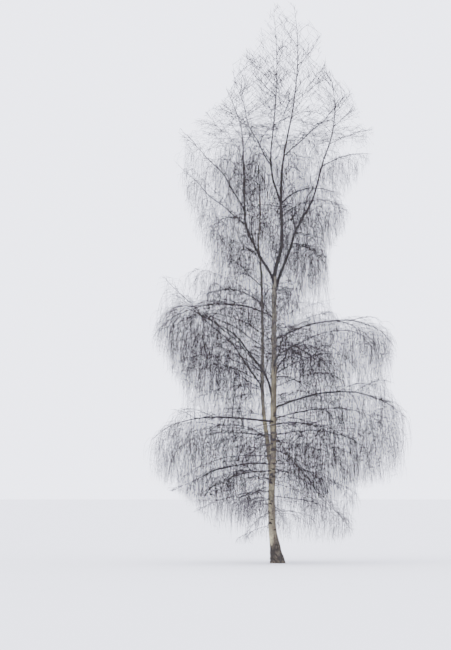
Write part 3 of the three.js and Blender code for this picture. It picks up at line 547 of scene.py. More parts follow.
def sprout(carriers, spacing, stretch, kind):
    """Which carrier each child leaves, its number there, its share of the way and its seed. There is one
    child in each of the even pieces that the spacing divides a carrier's stretch into. The spacing is wider
    where twigs are longer, by the power CROWDING of their length, and narrower by the cube root of how full
    the carrier is."""
    first, last = stretch
    wide = spacing * carriers.weep**CROWDING / carriers.full ** (1 / 3)
    counts = np.maximum(1, np.rint(path_length(carriers.path) * (last - first) / wide)).astype(int)
    which = np.repeat(np.arange(len(counts)), counts)
    order = np.arange(len(which)) - np.repeat(np.cumsum(counts) - counts, counts)
    seed = mixed(carriers.seed[which], order, kind)
    share = first + (last - first) * (order + between(JITTER, draws(seed, 1))) / counts[which]
    return which, order, share, seed


def uprightness(places):
    """0 where the twigs hang down, rising to 1 near the top, where they stand up."""
    low, high = UPRIGHT_HEIGHTS
    return np.clip((places[:, 2] - low) / (high - low), 0, 1)


def fall(start, aim, length, carry, seed, steps):
    """start + length (aim out + down (t - out)) with out = carry (1 - exp(-t / carry)), for t from 0 to 1,
    and a drawn wiggle of length t sin(2 pi (turns t + phase)) that grows along the way."""
    t = np.linspace(0, 1, steps + 1)[None, :]
    length, carry = length[:, None], np.broadcast_to(carry, length.shape)[:, None]
    out = carry * (1 - np.exp(-t / carry))
    path = start[:, None] + aim[:, None] * (length * out)[..., None]
    path[..., 2] -= length * (t - out)
    turns = between(WIGGLE_TURNS, draws(seed, 21))[:, None]
    for axis in range(2):
        phase = draws(seed, 22 + axis)[:, None]
        path[..., axis] += WIGGLE * length * t * np.sin(2 * math.pi * (turns * t + phase))
    return path


def heading_of(along, order):
    """The heading of a direction in degrees. Children of a steep carrier take turns all round it."""
    heading = np.degrees(np.arctan2(along[:, 1], along[:, 0]))
    return np.where(np.abs(along[:, 2]) > STEEP, heading + GOLDEN_ANGLE * order, heading)


def tapering(path, thickness, girth, weep, full, seed, spray):
    """Twigs with a thickness at each end, times their girth, cut back to the crown."""
    return within_crown(Twigs(path, thickness[0] * girth, thickness[1] * girth, weep, full, seed, spray))


def grow_branches(limbs):
    """Side branches leave the limbs by turns to both sides and go on at about the limb's own slope."""
    which, order, share, seed = sprout(limbs, BRANCH_SPACING, BRANCH_STRETCH, BRANCH)
    start, along = places_on(limbs.path, which, share)
    side = np.where(order % 2, 1, -1)
    turned = heading_of(along, order) + side * between(BRANCH_SPREAD, draws(seed, 2))
    slope = np.degrees(np.arcsin(np.clip(along[:, 2], -1, 1)))
    slope = np.clip(slope, *BRANCH_SLOPES) + between(BRANCH_LIFT, draws(seed, 3))
    length = path_length(limbs.path)[which] * between(BRANCH_LENGTH, draws(seed, 4))
    length = np.minimum(length * between(BRANCH_FADE, share), BRANCH_LONGEST)
    path = fall(start, direction(turned, slope), length, BRANCH_CARRY, seed, 6)
    girth = np.ones(len(which))
    spray = mixed(seed, 5) % TONES
    return tapering(path, BRANCH_THICKNESS, girth, limbs.weep[which], limbs.full[which], seed, spray)


def grow_shoots(limbs):
    """Shoots leave the limbs by turns to both sides and arch over."""
    which, order, share, seed = sprout(limbs, SHOOT_SPACING, SHOOT_STRETCH, SHOOT)
    start, along = places_on(limbs.path, which, share)
    upright = uprightness(start)
    side = np.where(order % 2, 1, -1)
    turned = heading_of(along, order) + side * between(SHOOT_SPREAD, draws(seed, 2))
    aim = direction(turned, between(SHOOT_LIFT, draws(seed, 3)) + UPRIGHT_SHOOT_LIFT * upright)
    length = limbs.weep[which] * between(SHOOT_LENGTH, draws(seed, 4)) * between(SHOOT_FADE, share)
    path = fall(start, aim, length, SHOOT_CARRY, seed, 6)
    girth = 1 + UPRIGHT_GIRTH * upright
    spray = mixed(seed, 5) % TONES
    return tapering(path, SHOOT_THICKNESS, girth, limbs.weep[which], limbs.full[which], seed, spray)


def grow_hanging(carriers, spacing, stretch):
    """Twigs hang from shoots, branches and limbs. They fall almost straight, and stand up near the top."""
    which, order, share, seed = sprout(carriers, spacing, stretch, HANGING)
    start, along = places_on(carriers.path, which, share)
    upright = uprightness(start)
    side = np.where(order % 2, 1, -1)
    turned = heading_of(along, order) + side * between(HANG_SPREAD, draws(seed, 2))
    lift = UPRIGHT_HANG_LIFT * upright * between(UPRIGHT_HANG_DRAW, draws(seed, 3))
    aim = direction(turned, HANG_LIFT + lift)
    length = carriers.weep[which] * between(HANG_LENGTH, draws(seed, 4)) * between(HANG_FADE, share)
    path = fall(start, aim, length, between((HANG_CARRY, UPRIGHT_CARRY), upright), seed, 5)
    girth = 1 + UPRIGHT_GIRTH * upright
    full = np.ones(len(which))
    return tapering(path, HANG_THICKNESS, girth, length, full, seed, carriers.spray[which])


def room_at(places):
    """The length of twigs that find light in the cell of each place: ROOM, times its share at this height,
    times a share that grows from ROOM_INSIDE to 1 away from the trunk, where ways to the front count less.
    Each place that is denser or more open is blended in by exp(-a² - b²)."""
    across, deep, height = np.moveaxis(places, -1, 0)
    deep = deep * np.where(deep < 0, INSIDE_FRONT, 1)
    away = np.hypot(np.hypot(across, deep), np.maximum(height - INSIDE_TOP, 0))
    room = ROOM * np.interp(height, ROOM_HEIGHTS, ROOM_SHARES)
    room = room * between((ROOM_INSIDE, 1), smoothstep(*INSIDE, away))
    for middle, high, half_width, half_height, part in DENSER_OR_OPEN:
        aside = (across - middle) / half_width
        apart = (height - high) / half_height
        room = room * between((1, part), np.exp(-(aside**2) - apart**2))
    return room


def thinned(twigs, share=1):
    """The twigs again, without some of those in a crowd. A place's chance is the share of its cell's room,
    divided by the length of all twigs in the cell, up to MOST_ROOM. A twig stays if its draw is below the
    mean chance along it."""
    points = twigs.path.shape[1]
    cells = np.floor(twigs.path / CELL).astype(int)
    cells = cells - cells.min(axis=(0, 1))
    index = np.ravel_multi_index(cells.reshape(-1, 3).T, cells.max(axis=(0, 1)) + 1)
    length = np.bincount(index, np.repeat(path_length(twigs.path) / points, points))[index]
    chance = np.minimum(share * room_at(twigs.path) / length.reshape(-1, points), MOST_ROOM)
    return chosen(twigs, draws(twigs.seed, 41) < chance.mean(axis=1))


def grow_twiglets(carriers):
    """Twiglets leave the hanging twigs by turns at a narrow spread."""
    which, order, share, seed = sprout(carriers, TWIGLET_SPACING, TWIGLET_STRETCH, TWIGLET)
    start, along = places_on(carriers.path, which, share)
    turn = GOLDEN_ANGLE * order + 360 * draws(seed, 6)
    spread = np.radians(between(TWIGLET_SPREAD, draws(seed, 2)))[:, None]
    sideways = unit(np.cross(along, direction(turn, TWIGLET_TILT * draws(seed, 3))))
    aim = np.cos(spread) * along + np.sin(spread) * sideways
    length = between(TWIGLET_LENGTH, draws(seed, 4))
    path = fall(start, aim, length, TWIGLET_CARRY, seed, 1)
    ones = np.ones(len(which))
    return tapering(path, TWIGLET_THICKNESS, ones, length, ones, seed, carriers.spray[which])


def grow_buds(carriers):
    """Buds sit on some of the twiglets and point forwards and outwards."""
    carriers = chosen(carriers, draws(carriers.seed, 8) < BUD_SHARE)
    which, _, share, seed = sprout(carriers, BUD_SPACING, BUD_STRETCH, BUD)
    start, along = places_on(carriers.path, which, share)
    sideways = unit(np.cross(along, direction(360 * draws(seed, 2), 90 * draws(seed, 3))))
    tip = unit(along + BUD_SPREAD * sideways) * BUD_LENGTH
    path = start[:, None] + tip[:, None] * np.linspace(0, 1, 3)[:, None]
    ones = np.ones(len(which))
    thick = BUD_THICKNESS * ones
    return Twigs(path, thick, thick, ones, ones, seed, carriers.spray[which])


def tubes(paths, radii, sides, level=False):
    """Closed tubes along many paths at once. A corner is place + radius (cos a · normal + sin a · binormal),
    with a flat base and one point at the end. A level tube keeps its rings level. Gives corners, and
    triangles that face outwards."""
    count, points = paths.shape[:2]
    tangent = unit(np.gradient(paths, axis=1))
    chord = paths[:, -1] - paths[:, 0]
    side = unit(np.stack([-chord[:, 1], chord[:, 0] + 1e-6, 0 * chord[:, 0]], axis=1))[:, None]
    if level:
        tangent = np.zeros_like(tangent) + [0, 0, 1]
        side = np.array([[[0, 1, 0]]])
    normal = unit(np.cross(side, tangent))
    binormal = np.cross(tangent, normal)
    angle = np.arange(sides) * 2 * math.pi / sides
    radii = np.broadcast_to(radii, (count, points, sides))[:, :-1, :, None]
    around = np.cos(angle)[:, None] * normal[:, :-1, None] + np.sin(angle)[:, None] * binormal[:, :-1, None]
    rings = paths[:, :-1, None] + radii * around
    corners = np.concatenate([rings.reshape(count, -1, 3), paths[:, -1:]], axis=1)
    triangles = tube_triangles(points - 1, sides)
    offsets = np.arange(count)[:, None, None] * corners.shape[1]
    return corners.reshape(-1, 3), (triangles + offsets).reshape(-1, 3)


def tube_triangles(rings, sides):
    """The triangles of one tube: its side, its flat base and the cone at its end."""
    ring = np.arange(rings - 1)[:, None] * sides
    here = np.arange(sides)[None]
    after = (here + 1) % sides
    a, b, c, d = ring + here, ring + after, ring + sides + after, ring + sides + here
    side = np.stack([np.stack([a, b, c], -1), np.stack([a, c, d], -1)], -2).reshape(-1, 3)
    last = (rings - 1) * sides
    cone = np.stack([last + here[0], last + after[0], np.full(sides, rings * sides)], -1)
    turn = np.arange(1, sides - 1)
    base = np.stack([0 * turn, turn + 1, turn], -1)
    return np.concatenate([side, cone, base])


def mesh_object(name, corners, triangles, material, marks=()):
    """An object at the origin from whole arrays, with smooth faces, and with a number for each corner under
    the name of each of its marks."""
    mesh = bpy.data.meshes.new(name)
    mesh.vertices.add(len(corners))
    mesh.vertices.foreach_set("co", corners.astype(np.float32).ravel())
    mesh.loops.add(triangles.size)
    mesh.loops.foreach_set("vertex_index", triangles.astype(np.int32).ravel())
    mesh.polygons.add(len(triangles))
    mesh.polygons.foreach_set("loop_start", np.arange(0, triangles.size, 3, dtype=np.int32))
    mesh.polygons.foreach_set("use_smooth", np.ones(len(triangles), dtype=bool))
    for label, numbers in dict(marks).items():
        made = mesh.attributes.new(label, "FLOAT", "POINT")
        made.data.foreach_set("value", numbers.astype(np.float32).ravel())
    mesh.update(calc_edges=True)
    mesh.materials.append(material)
    made = bpy.data.objects.new(name, mesh)
    bpy.context.collection.objects.link(made)
    return made


def place_piece(piece, nodes):
    """A piece rides on the tree's one body and stands for some of the solids."""
    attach(piece, "root")
    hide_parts(*nodes)


def lattice_noise(u, v, around, seed):
    """Smooth noise from 0 to 1 that closes on itself after some whole cells in u. The drawn numbers at the
    four corners of a cell are blended by s s (3 - 2 s)."""
    column, row = np.floor(u), np.floor(v)
    s, t = u - column, v - row
    s, t = s * s * (3 - 2 * s), t * t * (3 - 2 * t)

    def corner(i, j):
        """The drawn numbers at one of the corners."""
        return draws((column + i).astype(int) % around, (row + j).astype(int) + 64, seed)

    low = corner(0, 0) * (1 - s) + corner(1, 0) * s
    high = corner(0, 1) * (1 - s) + corner(1, 1) * s
    return low * (1 - t) + high * t


def smoothstep(low, high, values):
    """0 below the low value and 1 above the high one, and t t (3 - 2 t) between them."""
    t = np.clip((values - low) / (high - low), 0, 1)
    return t * t * (3 - 2 * t)


# The trunk's flare and its root lobes. Its rings stand closer near the ground, by a power of the height
SHAFT_RADII = (0.088, 0.055)
FLARE = 0.092
FLARE_HEIGHT = 0.52
FLARE_POWER = 1.6
ROOT_LOBES = 5
ROOT_LOBE_DEPTH = 0.11
ROOT_LOBE_HEIGHT = 0.3
ROOT_LOBE_TURN = 0.5
TRUNK_SIDES = 96
TRUNK_POINTS = 521
RING_POWER = 1.15
STEM_SIDES = 18
LIMB_SIDES = 10
SMALL_SIDES = 5

# The bark's relief: furrows in the corky foot, level wrinkles higher up, and collars round the limbs
FURROW_DEPTH = 0.016
FURROW_HEIGHT = 0.62
FURROW_BEND = 0.02
FURROW_WAVES = (9, 4)
FURROW_FADE = (0.25, 0.75)
FURROW_RAGGED = 0.5
RIDGE_EDGES = (0.55, 0.95)
CRACK_EDGES = (0.7, 0.97)
CRACK_SHARE = 0.6
ROUGHNESS_DEPTH = 0.005
WRINKLE_DEPTH = 0.0016
SWELLING_DEPTH = 0.005
COLLAR_RISE = 0.009
COLLAR_SIZE = 0.05
COLLAR_TURN = 0.75
COLLAR_ABOVE = 0.6
STEM_WRINKLE_DEPTH = 0.05
STEM_SWELLING_DEPTH = 0.14

# The bark's patterns: how many cells go round, how tall a cell is, and its seed
RIDGES = (25, 0.13, 71)
CRACKS = (32, 0.05, 72)
RAGGED_EDGE = (5, 0.22, 73)
ROUGH_CORK = (40, 0.02, 74)
WRINKLES = (6, 0.013, 75)
SWELLINGS = (4, 0.4, 76)
CORK_TONGUES = (9, 0.3, 77)
CORK_FRINGE = (23, 0.1, 78)
SHADE_PATCHES = (6, 0.24, 79)
SHADE_SPOTS = (15, 0.07, 80)

# The patterns of the other stems and of the limbs, which have seeds of their own
STEM_WRINKLES = (5, 0.014)
STEM_SWELLINGS = (3, 0.2)
STEM_SEED = 80
LIMB_SEED = 90

# The bark's colours change with its cork, a painted shade on its right side and the scars over the limbs
CORK_HEIGHT = 0.68
CORK_EDGES = (0.3, 0.6)
TONGUE_SHARE = 0.5
FRINGE_SHARE = 0.5
SHADE_HEADING = -0.35
SHADE_HEIGHTS = (0.6, 2, 4, 5.2)
SHADE_MOST = (0.95, 0.7, 0.7, 0.25)
SHADE_EDGES = (-0.1, 0.9)
SPOT_SHARE = 0.6
UNEVENNESS = 0.9
SCAR_SIZE = 0.019
SCAR_TURN = 0.55
SCAR_DROOP = 0.015
ROOT_SCAR = 0.02

# Old scars on the trunk that no limb grows from: a height, a heading and a size
SCARS = [
    (3.52, 292, 1.1), (3.38, 235, 1.5), (3.14, 330, 0.8), (2.95, 298, 1.2), (2.72, 266, 2.1),
    (2.38, 270, 0.6), (2.24, 296, 1.1), (2.06, 296, 1), (1.93, 240, 1.6), (1.93, 335, 0.9),
    (1.48, 270, 0.7), (1.2, 225, 0.9), (1.04, 270, 0.6), (0.96, 232, 1.5), (0.8, 310, 0.8),
]

# Where cream bark reaches down into the cork of the foot: a heading, a height, its size in both, and how
# much of the cork it takes
PALE_PATCH = (225, 0.58, 0.5, 0.16, 0.8)


def trunk_radius(height, angle):
    """The shaft's taper, plus FLARE exp(-(h / FLARE_HEIGHT)^FLARE_POWER), times
    1 + lobe cos(ROOT_LOBES angle + turn), where the lobe is ROOT_LOBE_DEPTH exp(-h / ROOT_LOBE_HEIGHT)."""
    shaft = between(SHAFT_RADII, height / (TRUNK_HEIGHT * MM))
    flare = FLARE * np.exp(-((height / FLARE_HEIGHT) ** FLARE_POWER))
    lobe = ROOT_LOBE_DEPTH * np.exp(-height / ROOT_LOBE_HEIGHT)
    return (shaft + flare) * (1 + lobe * np.cos(ROOT_LOBES * angle + ROOT_LOBE_TURN))


def pattern(grain, turn, height):
    """Smooth noise of a grain, at a share of the full turn and a height."""
    around, tall, seed = grain
    return lattice_noise(turn * around, height / tall, around, seed)


def turned_from(angle, heading):
    """The angle from a heading in degrees, the short way round."""
    return np.angle(np.exp(1j * (angle - math.radians(heading))))


def furrows(angle, height):
    """How deep the corky foot is furrowed, from 0 to 1: bent upright ridges 1 - |2 noise - 1|, with finer
    cracks, that fade with exp(-(h / FURROW_HEIGHT)²) at a ragged edge."""
    turn = angle / (2 * math.pi)
    bent = turn + FURROW_BEND * np.sin(FURROW_WAVES[0] * height + FURROW_WAVES[1] * angle)
    ridge = 1 - np.abs(2 * pattern(RIDGES, bent, height) - 1)
    crack = 1 - np.abs(2 * pattern(CRACKS, bent, height) - 1)
    ragged = pattern(RAGGED_EDGE, turn, height)
    low = np.exp(-((height / FURROW_HEIGHT) ** 2)) + FURROW_RAGGED * (ragged - 0.5)
    ridge = smoothstep(*RIDGE_EDGES, ridge)
    crack = CRACK_SHARE * smoothstep(*CRACK_EDGES, crack)
    return np.maximum(ridge, crack) * smoothstep(*FURROW_FADE, low)


def cork(angle, height):
    """Where the foot's bark is dark cork, from 0 to 1: everywhere near the ground, by
    exp(-(h / CORK_HEIGHT)^4), and in upright tongues with a fringe higher up, less a pale patch
    exp(-a² - d²), with a the turn and d the height from it, in its sizes."""
    turn = angle / (2 * math.pi)
    tongues = pattern(CORK_TONGUES, turn, height) + FRINGE_SHARE * pattern(CORK_FRINGE, turn, height)
    heading, middle, wide, tall, taken = PALE_PATCH
    patch = np.exp(-((turned_from(angle, heading) / wide) ** 2) - ((height - middle) / tall) ** 2)
    foot = np.exp(-((height / CORK_HEIGHT) ** 4))
    mean = (1 + FRINGE_SHARE) / 2
    return smoothstep(*CORK_EDGES, foot + TONGUE_SHARE * (tongues - mean) - taken * patch)


def shade(angle, height):
    """How much painted shade darkens the bark, from 0 to 1: the side to the right, away from the light, is
    painted brown and grey by cos(a - SHADE_HEADING), in uneven patches with spots, and less so higher up."""
    turn = angle / (2 * math.pi)
    uneven = pattern(SHADE_PATCHES, turn, height) + SPOT_SHARE * pattern(SHADE_SPOTS, turn, height)
    uneven = UNEVENNESS * (uneven - (1 + SPOT_SHARE) / 2)
    most = np.interp(height, SHADE_HEIGHTS, SHADE_MOST)
    return most * smoothstep(*SHADE_EDGES, np.cos(angle - SHADE_HEADING) + uneven)


def collars(angle, height, roots):
    """How near each place is to a limb's root, as exp(-a² - d²) with a the turn aside and d the height from
    it, each in the size of a collar, which is flatter above the limb."""
    near = np.zeros(np.broadcast_shapes(angle.shape, height.shape))
    for root_height, heading in roots:
        aside = turned_from(angle, heading) / COLLAR_TURN
        above = (height - root_height) / (COLLAR_SIZE * np.where(height < root_height, 1, COLLAR_ABOVE))
        near = np.maximum(near, np.exp(-(aside**2) - above**2))
    return near


def scars(angle, height, marked):
    """How dark each place is with a scar, from 0 to 1: a thin line that runs level and bends down at its
    ends, as exp(-a^4 - d²) with a the turn aside, and d the height above the line in the scar's size."""
    dark = np.zeros(np.broadcast_shapes(angle.shape, height.shape))
    for middle, heading, size in marked:
        aside = turned_from(angle, heading) / (SCAR_TURN * size**0.5)
        above = (height - middle + SCAR_DROOP * size * aside**2) / (SCAR_SIZE * size)
        dark = np.maximum(dark, np.exp(-(aside**4) - above**2))
    return dark


def trunk_surface(roots):
    """The trunk's corners, triangles and marks, with level rings: its plain radius, less the furrows, with a
    slow swelling, fine level wrinkles, rough cork at the foot and a collar round each limb."""
    path = smooth_line(TRUNK_LINE, TRUNK_POINTS)
    heights = np.linspace(0, 1, TRUNK_POINTS) ** RING_POWER * path[-1, 2]
    path = np.stack([at_height(path, height) for height in heights])
    angle = (np.arange(TRUNK_SIDES) * 2 * math.pi / TRUNK_SIDES)[None]
    height = heights[:, None]
    furrow = furrows(angle, height)
    turn = angle / (2 * math.pi)
    foot = np.exp(-height / FURROW_HEIGHT)
    relief = SWELLING_DEPTH * (pattern(SWELLINGS, turn, height) - 0.5)
    relief = relief + WRINKLE_DEPTH * (pattern(WRINKLES, turn, height) - 0.5)
    relief = relief + foot * ROUGHNESS_DEPTH * (pattern(ROUGH_CORK, turn, height) - 0.5)
    relief = relief - FURROW_DEPTH * furrow + COLLAR_RISE * collars(angle, height, roots)
    radius = trunk_radius(height, angle) + relief
    corners, triangles = tubes(path[None], radius[None], TRUNK_SIDES, level=True)
    over_limbs = [(root_height + ROOT_SCAR, heading, 1) for root_height, heading in roots]
    marks = {
        "furrow": furrow, "scar": scars(angle, height, over_limbs + SCARS),
        # 'shade' is painted shade on the trunk's right side
        "cork": cork(angle, height), "shade": shade(angle, height),
    }
    return corners, triangles, {name: with_tip(values) for name, values in marks.items()}


def with_tip(values):
    """One number for each corner of a tube, from one for each corner of its rings."""
    return np.append(values[:-1].ravel(), values[-1].mean())


def stem_surface(stem, seed):
    """A stem's path and radii: a taper by the share of the way to the power STEM_TAPER, times 1 + level
    wrinkles + a swelling."""
    path = smooth_line(stem.line, STEM_POINTS)
    share = np.linspace(0, 1, STEM_POINTS)[:, None]
    turn = (np.arange(STEM_SIDES) / STEM_SIDES)[None]
    travelled = share * path_length(path)
    radius = between((stem.thick, stem.thin), share**STEM_TAPER) * MM / 2
    wrinkle = pattern((*STEM_WRINKLES, seed), turn, travelled) - 0.5
    swelling = pattern((*STEM_SWELLINGS, seed + 1), turn, travelled) - 0.5
    return path, radius * (1 + STEM_WRINKLE_DEPTH * wrinkle + STEM_SWELLING_DEPTH * swelling)


def limb_radii(limbs, sides):
    """The radii of many limbs at once: a taper by the share of the way to the power LIMB_TAPER, times
    1 + FOOT_SWELL exp(-way / FOOT_LENGTH) + knots, which are noise with a lane of its own for each limb."""
    points = limbs.path.shape[1]
    share = np.linspace(0, 1, points)[None, :, None]
    travelled = share * path_length(limbs.path)[:, None, None]
    radius = between((limbs.thick[:, None, None], limbs.thin[:, None, None]), share**LIMB_TAPER) / 2
    foot = FOOT_SWELL * np.exp(-travelled / FOOT_LENGTH)
    turn = np.arange(sides)[None, None] / sides
    lane = KNOT_LANE * np.arange(len(limbs.thick))[:, None, None]
    along = travelled / KNOT_LENGTH + lane
    knots = lattice_noise(turn * KNOTS_AROUND, along, KNOTS_AROUND, LIMB_SEED) - 0.5
    return radius * (1 + foot + KNOT_SWELL * knots)


def limb_families():
    """The paths of the stems, and the limbs with their forks as twigs with thicknesses."""
    stems = {name: smooth_line(stem.line, STEM_POINTS) for name, stem in STEMS.items()}
    stems["trunk"] = smooth_line(TRUNK_LINE, STEM_POINTS)
    rows = []
    for number, limb in enumerate(LIMBS + SMALL_LIMBS):
        parent = stems[limb.parent]
        foot = parent[-1] if limb.on == TIP else at_height(parent, limb.on * MM)
        path = limb_path(foot, limb, None if limb.on == TIP else number)
        thick, weep = limb.thick * MM, limb.weep * MM
        rows.append((path, thick, thick * TIP_SHARE, weep, limb.full, number))
        for place, fork in enumerate(limb.forks):
            start = path[int(round(fork.on * (LIMB_POINTS - 1)))]
            seed = FORK_SEED + number * MOST_FORKS + place
            rows.append((limb_path(start, fork, seed), FORK_THICKNESS * MM, LIMB_TIP, weep, limb.full, seed))
    return stems, twigs_from(rows)


def twigs_from(rows):
    """A family of twigs from rows: a path, the thickness at both ends, the length of what hangs from it, how
    full it is, and a seed."""
    paths, thick, thin, weep, full, seeds = [np.array(values) for values in zip(*rows)]
    return Twigs(paths, thick, thin, weep, full, mixed(seeds, 9), mixed(seeds, 10) % TONES)


def fill_limb(foot, turn, chance):
    """A small limb that leaves a stem at its foot, and how long its hanging twigs are. Low ones are long and
    arch down, high ones are short and rise, and the chances draw the rest."""
    height = foot[2]
    upper = np.interp(height, FILL_UPPER, (0, 1))
    heading = turn + FILL_HEADING_DRAW * chance[0]
    room = crown_reach(foot + direction(heading, 0) * FILL_AIM) * between(FILL_REACH, chance[1])
    reach = min(room, FILL_LONGEST) * between(FILL_SHORTER, upper)
    leave = between(FILL_LEAVE, upper) + FILL_SLOPE_DRAW * chance[2]
    end = between(FILL_END, upper) + FILL_SLOPE_DRAW * chance[3]
    rise = reach * math.tan(math.radians((leave + end) / 2))
    weep = between(FILL_WEEP, upper) if height > FILL_LOW else FILL_LOW_WEEP
    return Fork(0, heading, reach / MM, rise / MM, leave, end), weep


def fill_limbs(stems):
    """Small limbs all round each stem, one in each piece of its height, at the golden angle."""
    rows = []
    for number, (name, path) in enumerate(stems.items()):
        on_stem = (path[0, 2] + FILL_ABOVE_FOOT, path[-1, 2])
        lowest, highest = FILL_ON_TRUNK if name == "trunk" else on_stem
        spacing = between(FILL_SPACING, np.interp(lowest, FILL_SPACING_HEIGHTS, (0, 1)))
        for i in range(int((highest - lowest) / spacing)):
            chance = [float(draws(number, i, use, FILL_USES)) for use in range(5)]
            foot = at_height(path, lowest + (i + chance[0]) * spacing)
            limb, weep = fill_limb(foot, GOLDEN_ANGLE * i + FILL_HEADING * number, chance[1:])
            seed = FILL_SEED + MOST_FILLING * number + i
            rows.append((limb_path(foot, limb, seed), FILL_THICKNESS, LIMB_TIP, weep, FILL_FULLNESS, seed))
    return twigs_from(rows)


def node(tree, kind, inputs=(), **settings):
    """A shader node with its settings and its inputs, which are values or other nodes' sockets."""
    made = tree.nodes.new(kind)
    for name, value in settings.items():
        setattr(made, name, value)
    for name, value in dict(inputs).items():
        if isinstance(value, bpy.types.NodeSocket):
            tree.links.new(value, made.inputs[name])
        else:
            made.inputs[name].default_value = value
    return made


def new_material(name, roughness):
    """A material with its shader, and its object coordinates."""
    material = bpy.data.materials.new(name)
    material.use_nodes = True
    tree = material.node_tree
    shader = tree.nodes["Principled BSDF"]
    shader.inputs["Roughness"].default_value = roughness
    shader.inputs["Specular IOR Level"].default_value = SHINE
    place = node(tree, "ShaderNodeTexCoord").outputs["Object"]
    return material, tree, shader, place


def blend(tree, share, low, high):
    """The mix of two colours, as a socket."""
    return node(tree, "ShaderNodeMix", {0: share, 6: low, 7: high}, data_type="RGBA").outputs[2]


def step_of(tree, value, low, high):
    """0 below the low value and 1 above the high one, with an eased way between."""
    inputs = {"Value": value, "From Min": low, "From Max": high}
    return node(tree, "ShaderNodeMapRange", inputs, interpolation_type="SMOOTHSTEP").outputs["Result"]


def flattened(tree, place, flatness):
    """The places with their height times the flatness, which draws a pattern out upright when below 1."""
    return node(tree, "ShaderNodeMapping", {"Vector": place, "Scale": (1, 1, flatness)}).outputs["Vector"]


def noise_at(tree, place, scale, detail, strength):
    """Smooth noise at the places, with finer layers of a strength, as a socket."""
    inputs = {"Vector": place, "Scale": scale, "Detail": detail, "Roughness": strength}
    return node(tree, "ShaderNodeTexNoise", inputs).outputs["Fac"]


def give_grain(tree, shader, grain, strength, distance):
    """Fine relief on a finish, from noise."""
    bump = node(tree, "ShaderNodeBump", {"Height": grain, "Strength": strength, "Distance": distance})
    tree.links.new(bump.outputs["Normal"], shader.inputs["Normal"])


def flecks_group():
    """A group that puts out level flecks, the pores of the bark: noise drawn out sideways and cut off at a
    level."""
    group = bpy.data.node_groups.new("bark flecks", "ShaderNodeTree")
    sockets = {"Place": "NodeSocketVector", "Fineness": "NodeSocketFloat", "Level": "NodeSocketFloat"}
    for name, kind in sockets.items():
        group.interface.new_socket(name, in_out="INPUT", socket_type=kind)
    group.interface.new_socket("Flecks", in_out="OUTPUT", socket_type="NodeSocketFloat")
    given = node(group, "NodeGroupInput")
    flat = flattened(group, given.outputs["Place"], FLECK_FLATNESS)
    noise = noise_at(group, flat, given.outputs["Fineness"], *FLECK_LAYERS)
    above = node(group, "ShaderNodeMath", {0: noise, 1: given.outputs["Level"]}, operation="SUBTRACT")
    sharpness = {0: above.outputs[0], 1: FLECK_SHARPNESS}
    sharp = node(group, "ShaderNodeMath", sharpness, operation="MULTIPLY", use_clamp=True)
    node(group, "NodeGroupOutput", {"Flecks": sharp.outputs[0]})
    return group


def flecks(tree, group, place, fineness, level):
    """The group's flecks at a fineness, with fewer of them at a higher level."""
    inputs = {"Place": place, "Fineness": fineness, "Level": level}
    return node(tree, "ShaderNodeGroup", inputs, node_tree=group).outputs["Flecks"]


# The colours. The trunk and the second stem change to their upper bark in two steps between heights
CREAM = (0.43, 0.378, 0.228, 1)
GREY_CREAM = (0.25, 0.22, 0.143, 1)
TRUNK_UPPER = [(0.42, 0.387, 0.29, 1), (0.4, 0.365, 0.31, 1)]
TRUNK_UPPER_HEIGHTS = (4.0, 5.8, 7.4)
STEM_UPPER = [(0.25, 0.23, 0.175, 1), (0.22, 0.2, 0.175, 1)]
STEM_UPPER_HEIGHTS = (3.0, 4.2, 7.0)
# SHADED is painted shade, which darkens the trunk's right side as if in shadow
SHADED = (0.115, 0.095, 0.066, 1)
CORK = (0.05, 0.04, 0.029, 1)
CORK_PALE = (0.1, 0.084, 0.061, 1)
FURROW = (0.025, 0.02, 0.016, 1)
FLECK = (0.06, 0.05, 0.04, 1)
LIMB_DARK = (0.034, 0.03, 0.03, 1)
LIMB_PALE = (0.085, 0.077, 0.072, 1)
TWIG_TONES = [
    (0.028, 0.022, 0.024, 1), (0.036, 0.028, 0.030, 1), (0.033, 0.028, 0.032, 1),
    (0.045, 0.036, 0.037, 1), (0.040, 0.030, 0.030, 1),
]
BUD_BROWN = (0.075, 0.055, 0.042, 1)
FLOOR_TONES = [(0.72, 0.72, 0.73, 1), (0.75, 0.75, 0.76, 1)]
SKY = (0.8, 0.815, 0.95, 1)

# How rough the finishes are, and how much they all shine
BARK_ROUGHNESS = 0.78
LIMB_ROUGHNESS = 0.8
TWIG_ROUGHNESS = 0.6
BUD_ROUGHNESS = 0.5
FLOOR_ROUGHNESS = 0.9
SHINE = 0.3

# The noise in the finishes: its scale, how many finer layers it has, and how strong they are. Some of it is
# drawn out upright or pressed flat
PATCH_NOISE = (7.0, 4.0, 0.6)
CORK_NOISE = (60.0, 3.0, 0.6)
GRAIN_NOISE = (60.0, 4.0, 0.5)
LIMB_PATCH_NOISE = (9.0, 4.0, 0.5)
LIMB_GRAIN_NOISE = (90.0, 3.0, 0.5)
FLOOR_NOISE = (0.4, 3.0, 0.5)
PATCH_FLATNESS = 0.55
CORK_FLATNESS = 0.4
GRAIN_FLATNESS = 3

# Between which values of the noise or of a mark one colour turns into the next
GREY_EDGES = (0.42, 0.62)
PALE_CORK_EDGES = (0.46, 0.62)
PALE_LIMB_EDGES = (0.38, 0.66)
FURROW_EDGES = (0.1, 0.7)
SCAR_EDGES = (0.2, 0.55)

# The flecks: how flat they are and the finer layers of their noise, and the fineness and level of each kind
FLECK_FLATNESS = 7
FLECK_LAYERS = (2.0, 0.55)
FLECK_SHARPNESS = 14.0
SMALL_FLECKS = (16.0, 0.58)
LARGE_FLECKS = (6.0, 0.63)
LIMB_FLECKS = (30.0, 0.6)

# The strength and the height of the grain
BARK_GRAIN = (0.5, 0.004)
LIMB_GRAIN = (0.4, 0.002)


def mark(tree, name):
    """The numbers that a mesh carries under a name."""
    return node(tree, "ShaderNodeAttribute", attribute_name=name).outputs["Fac"]


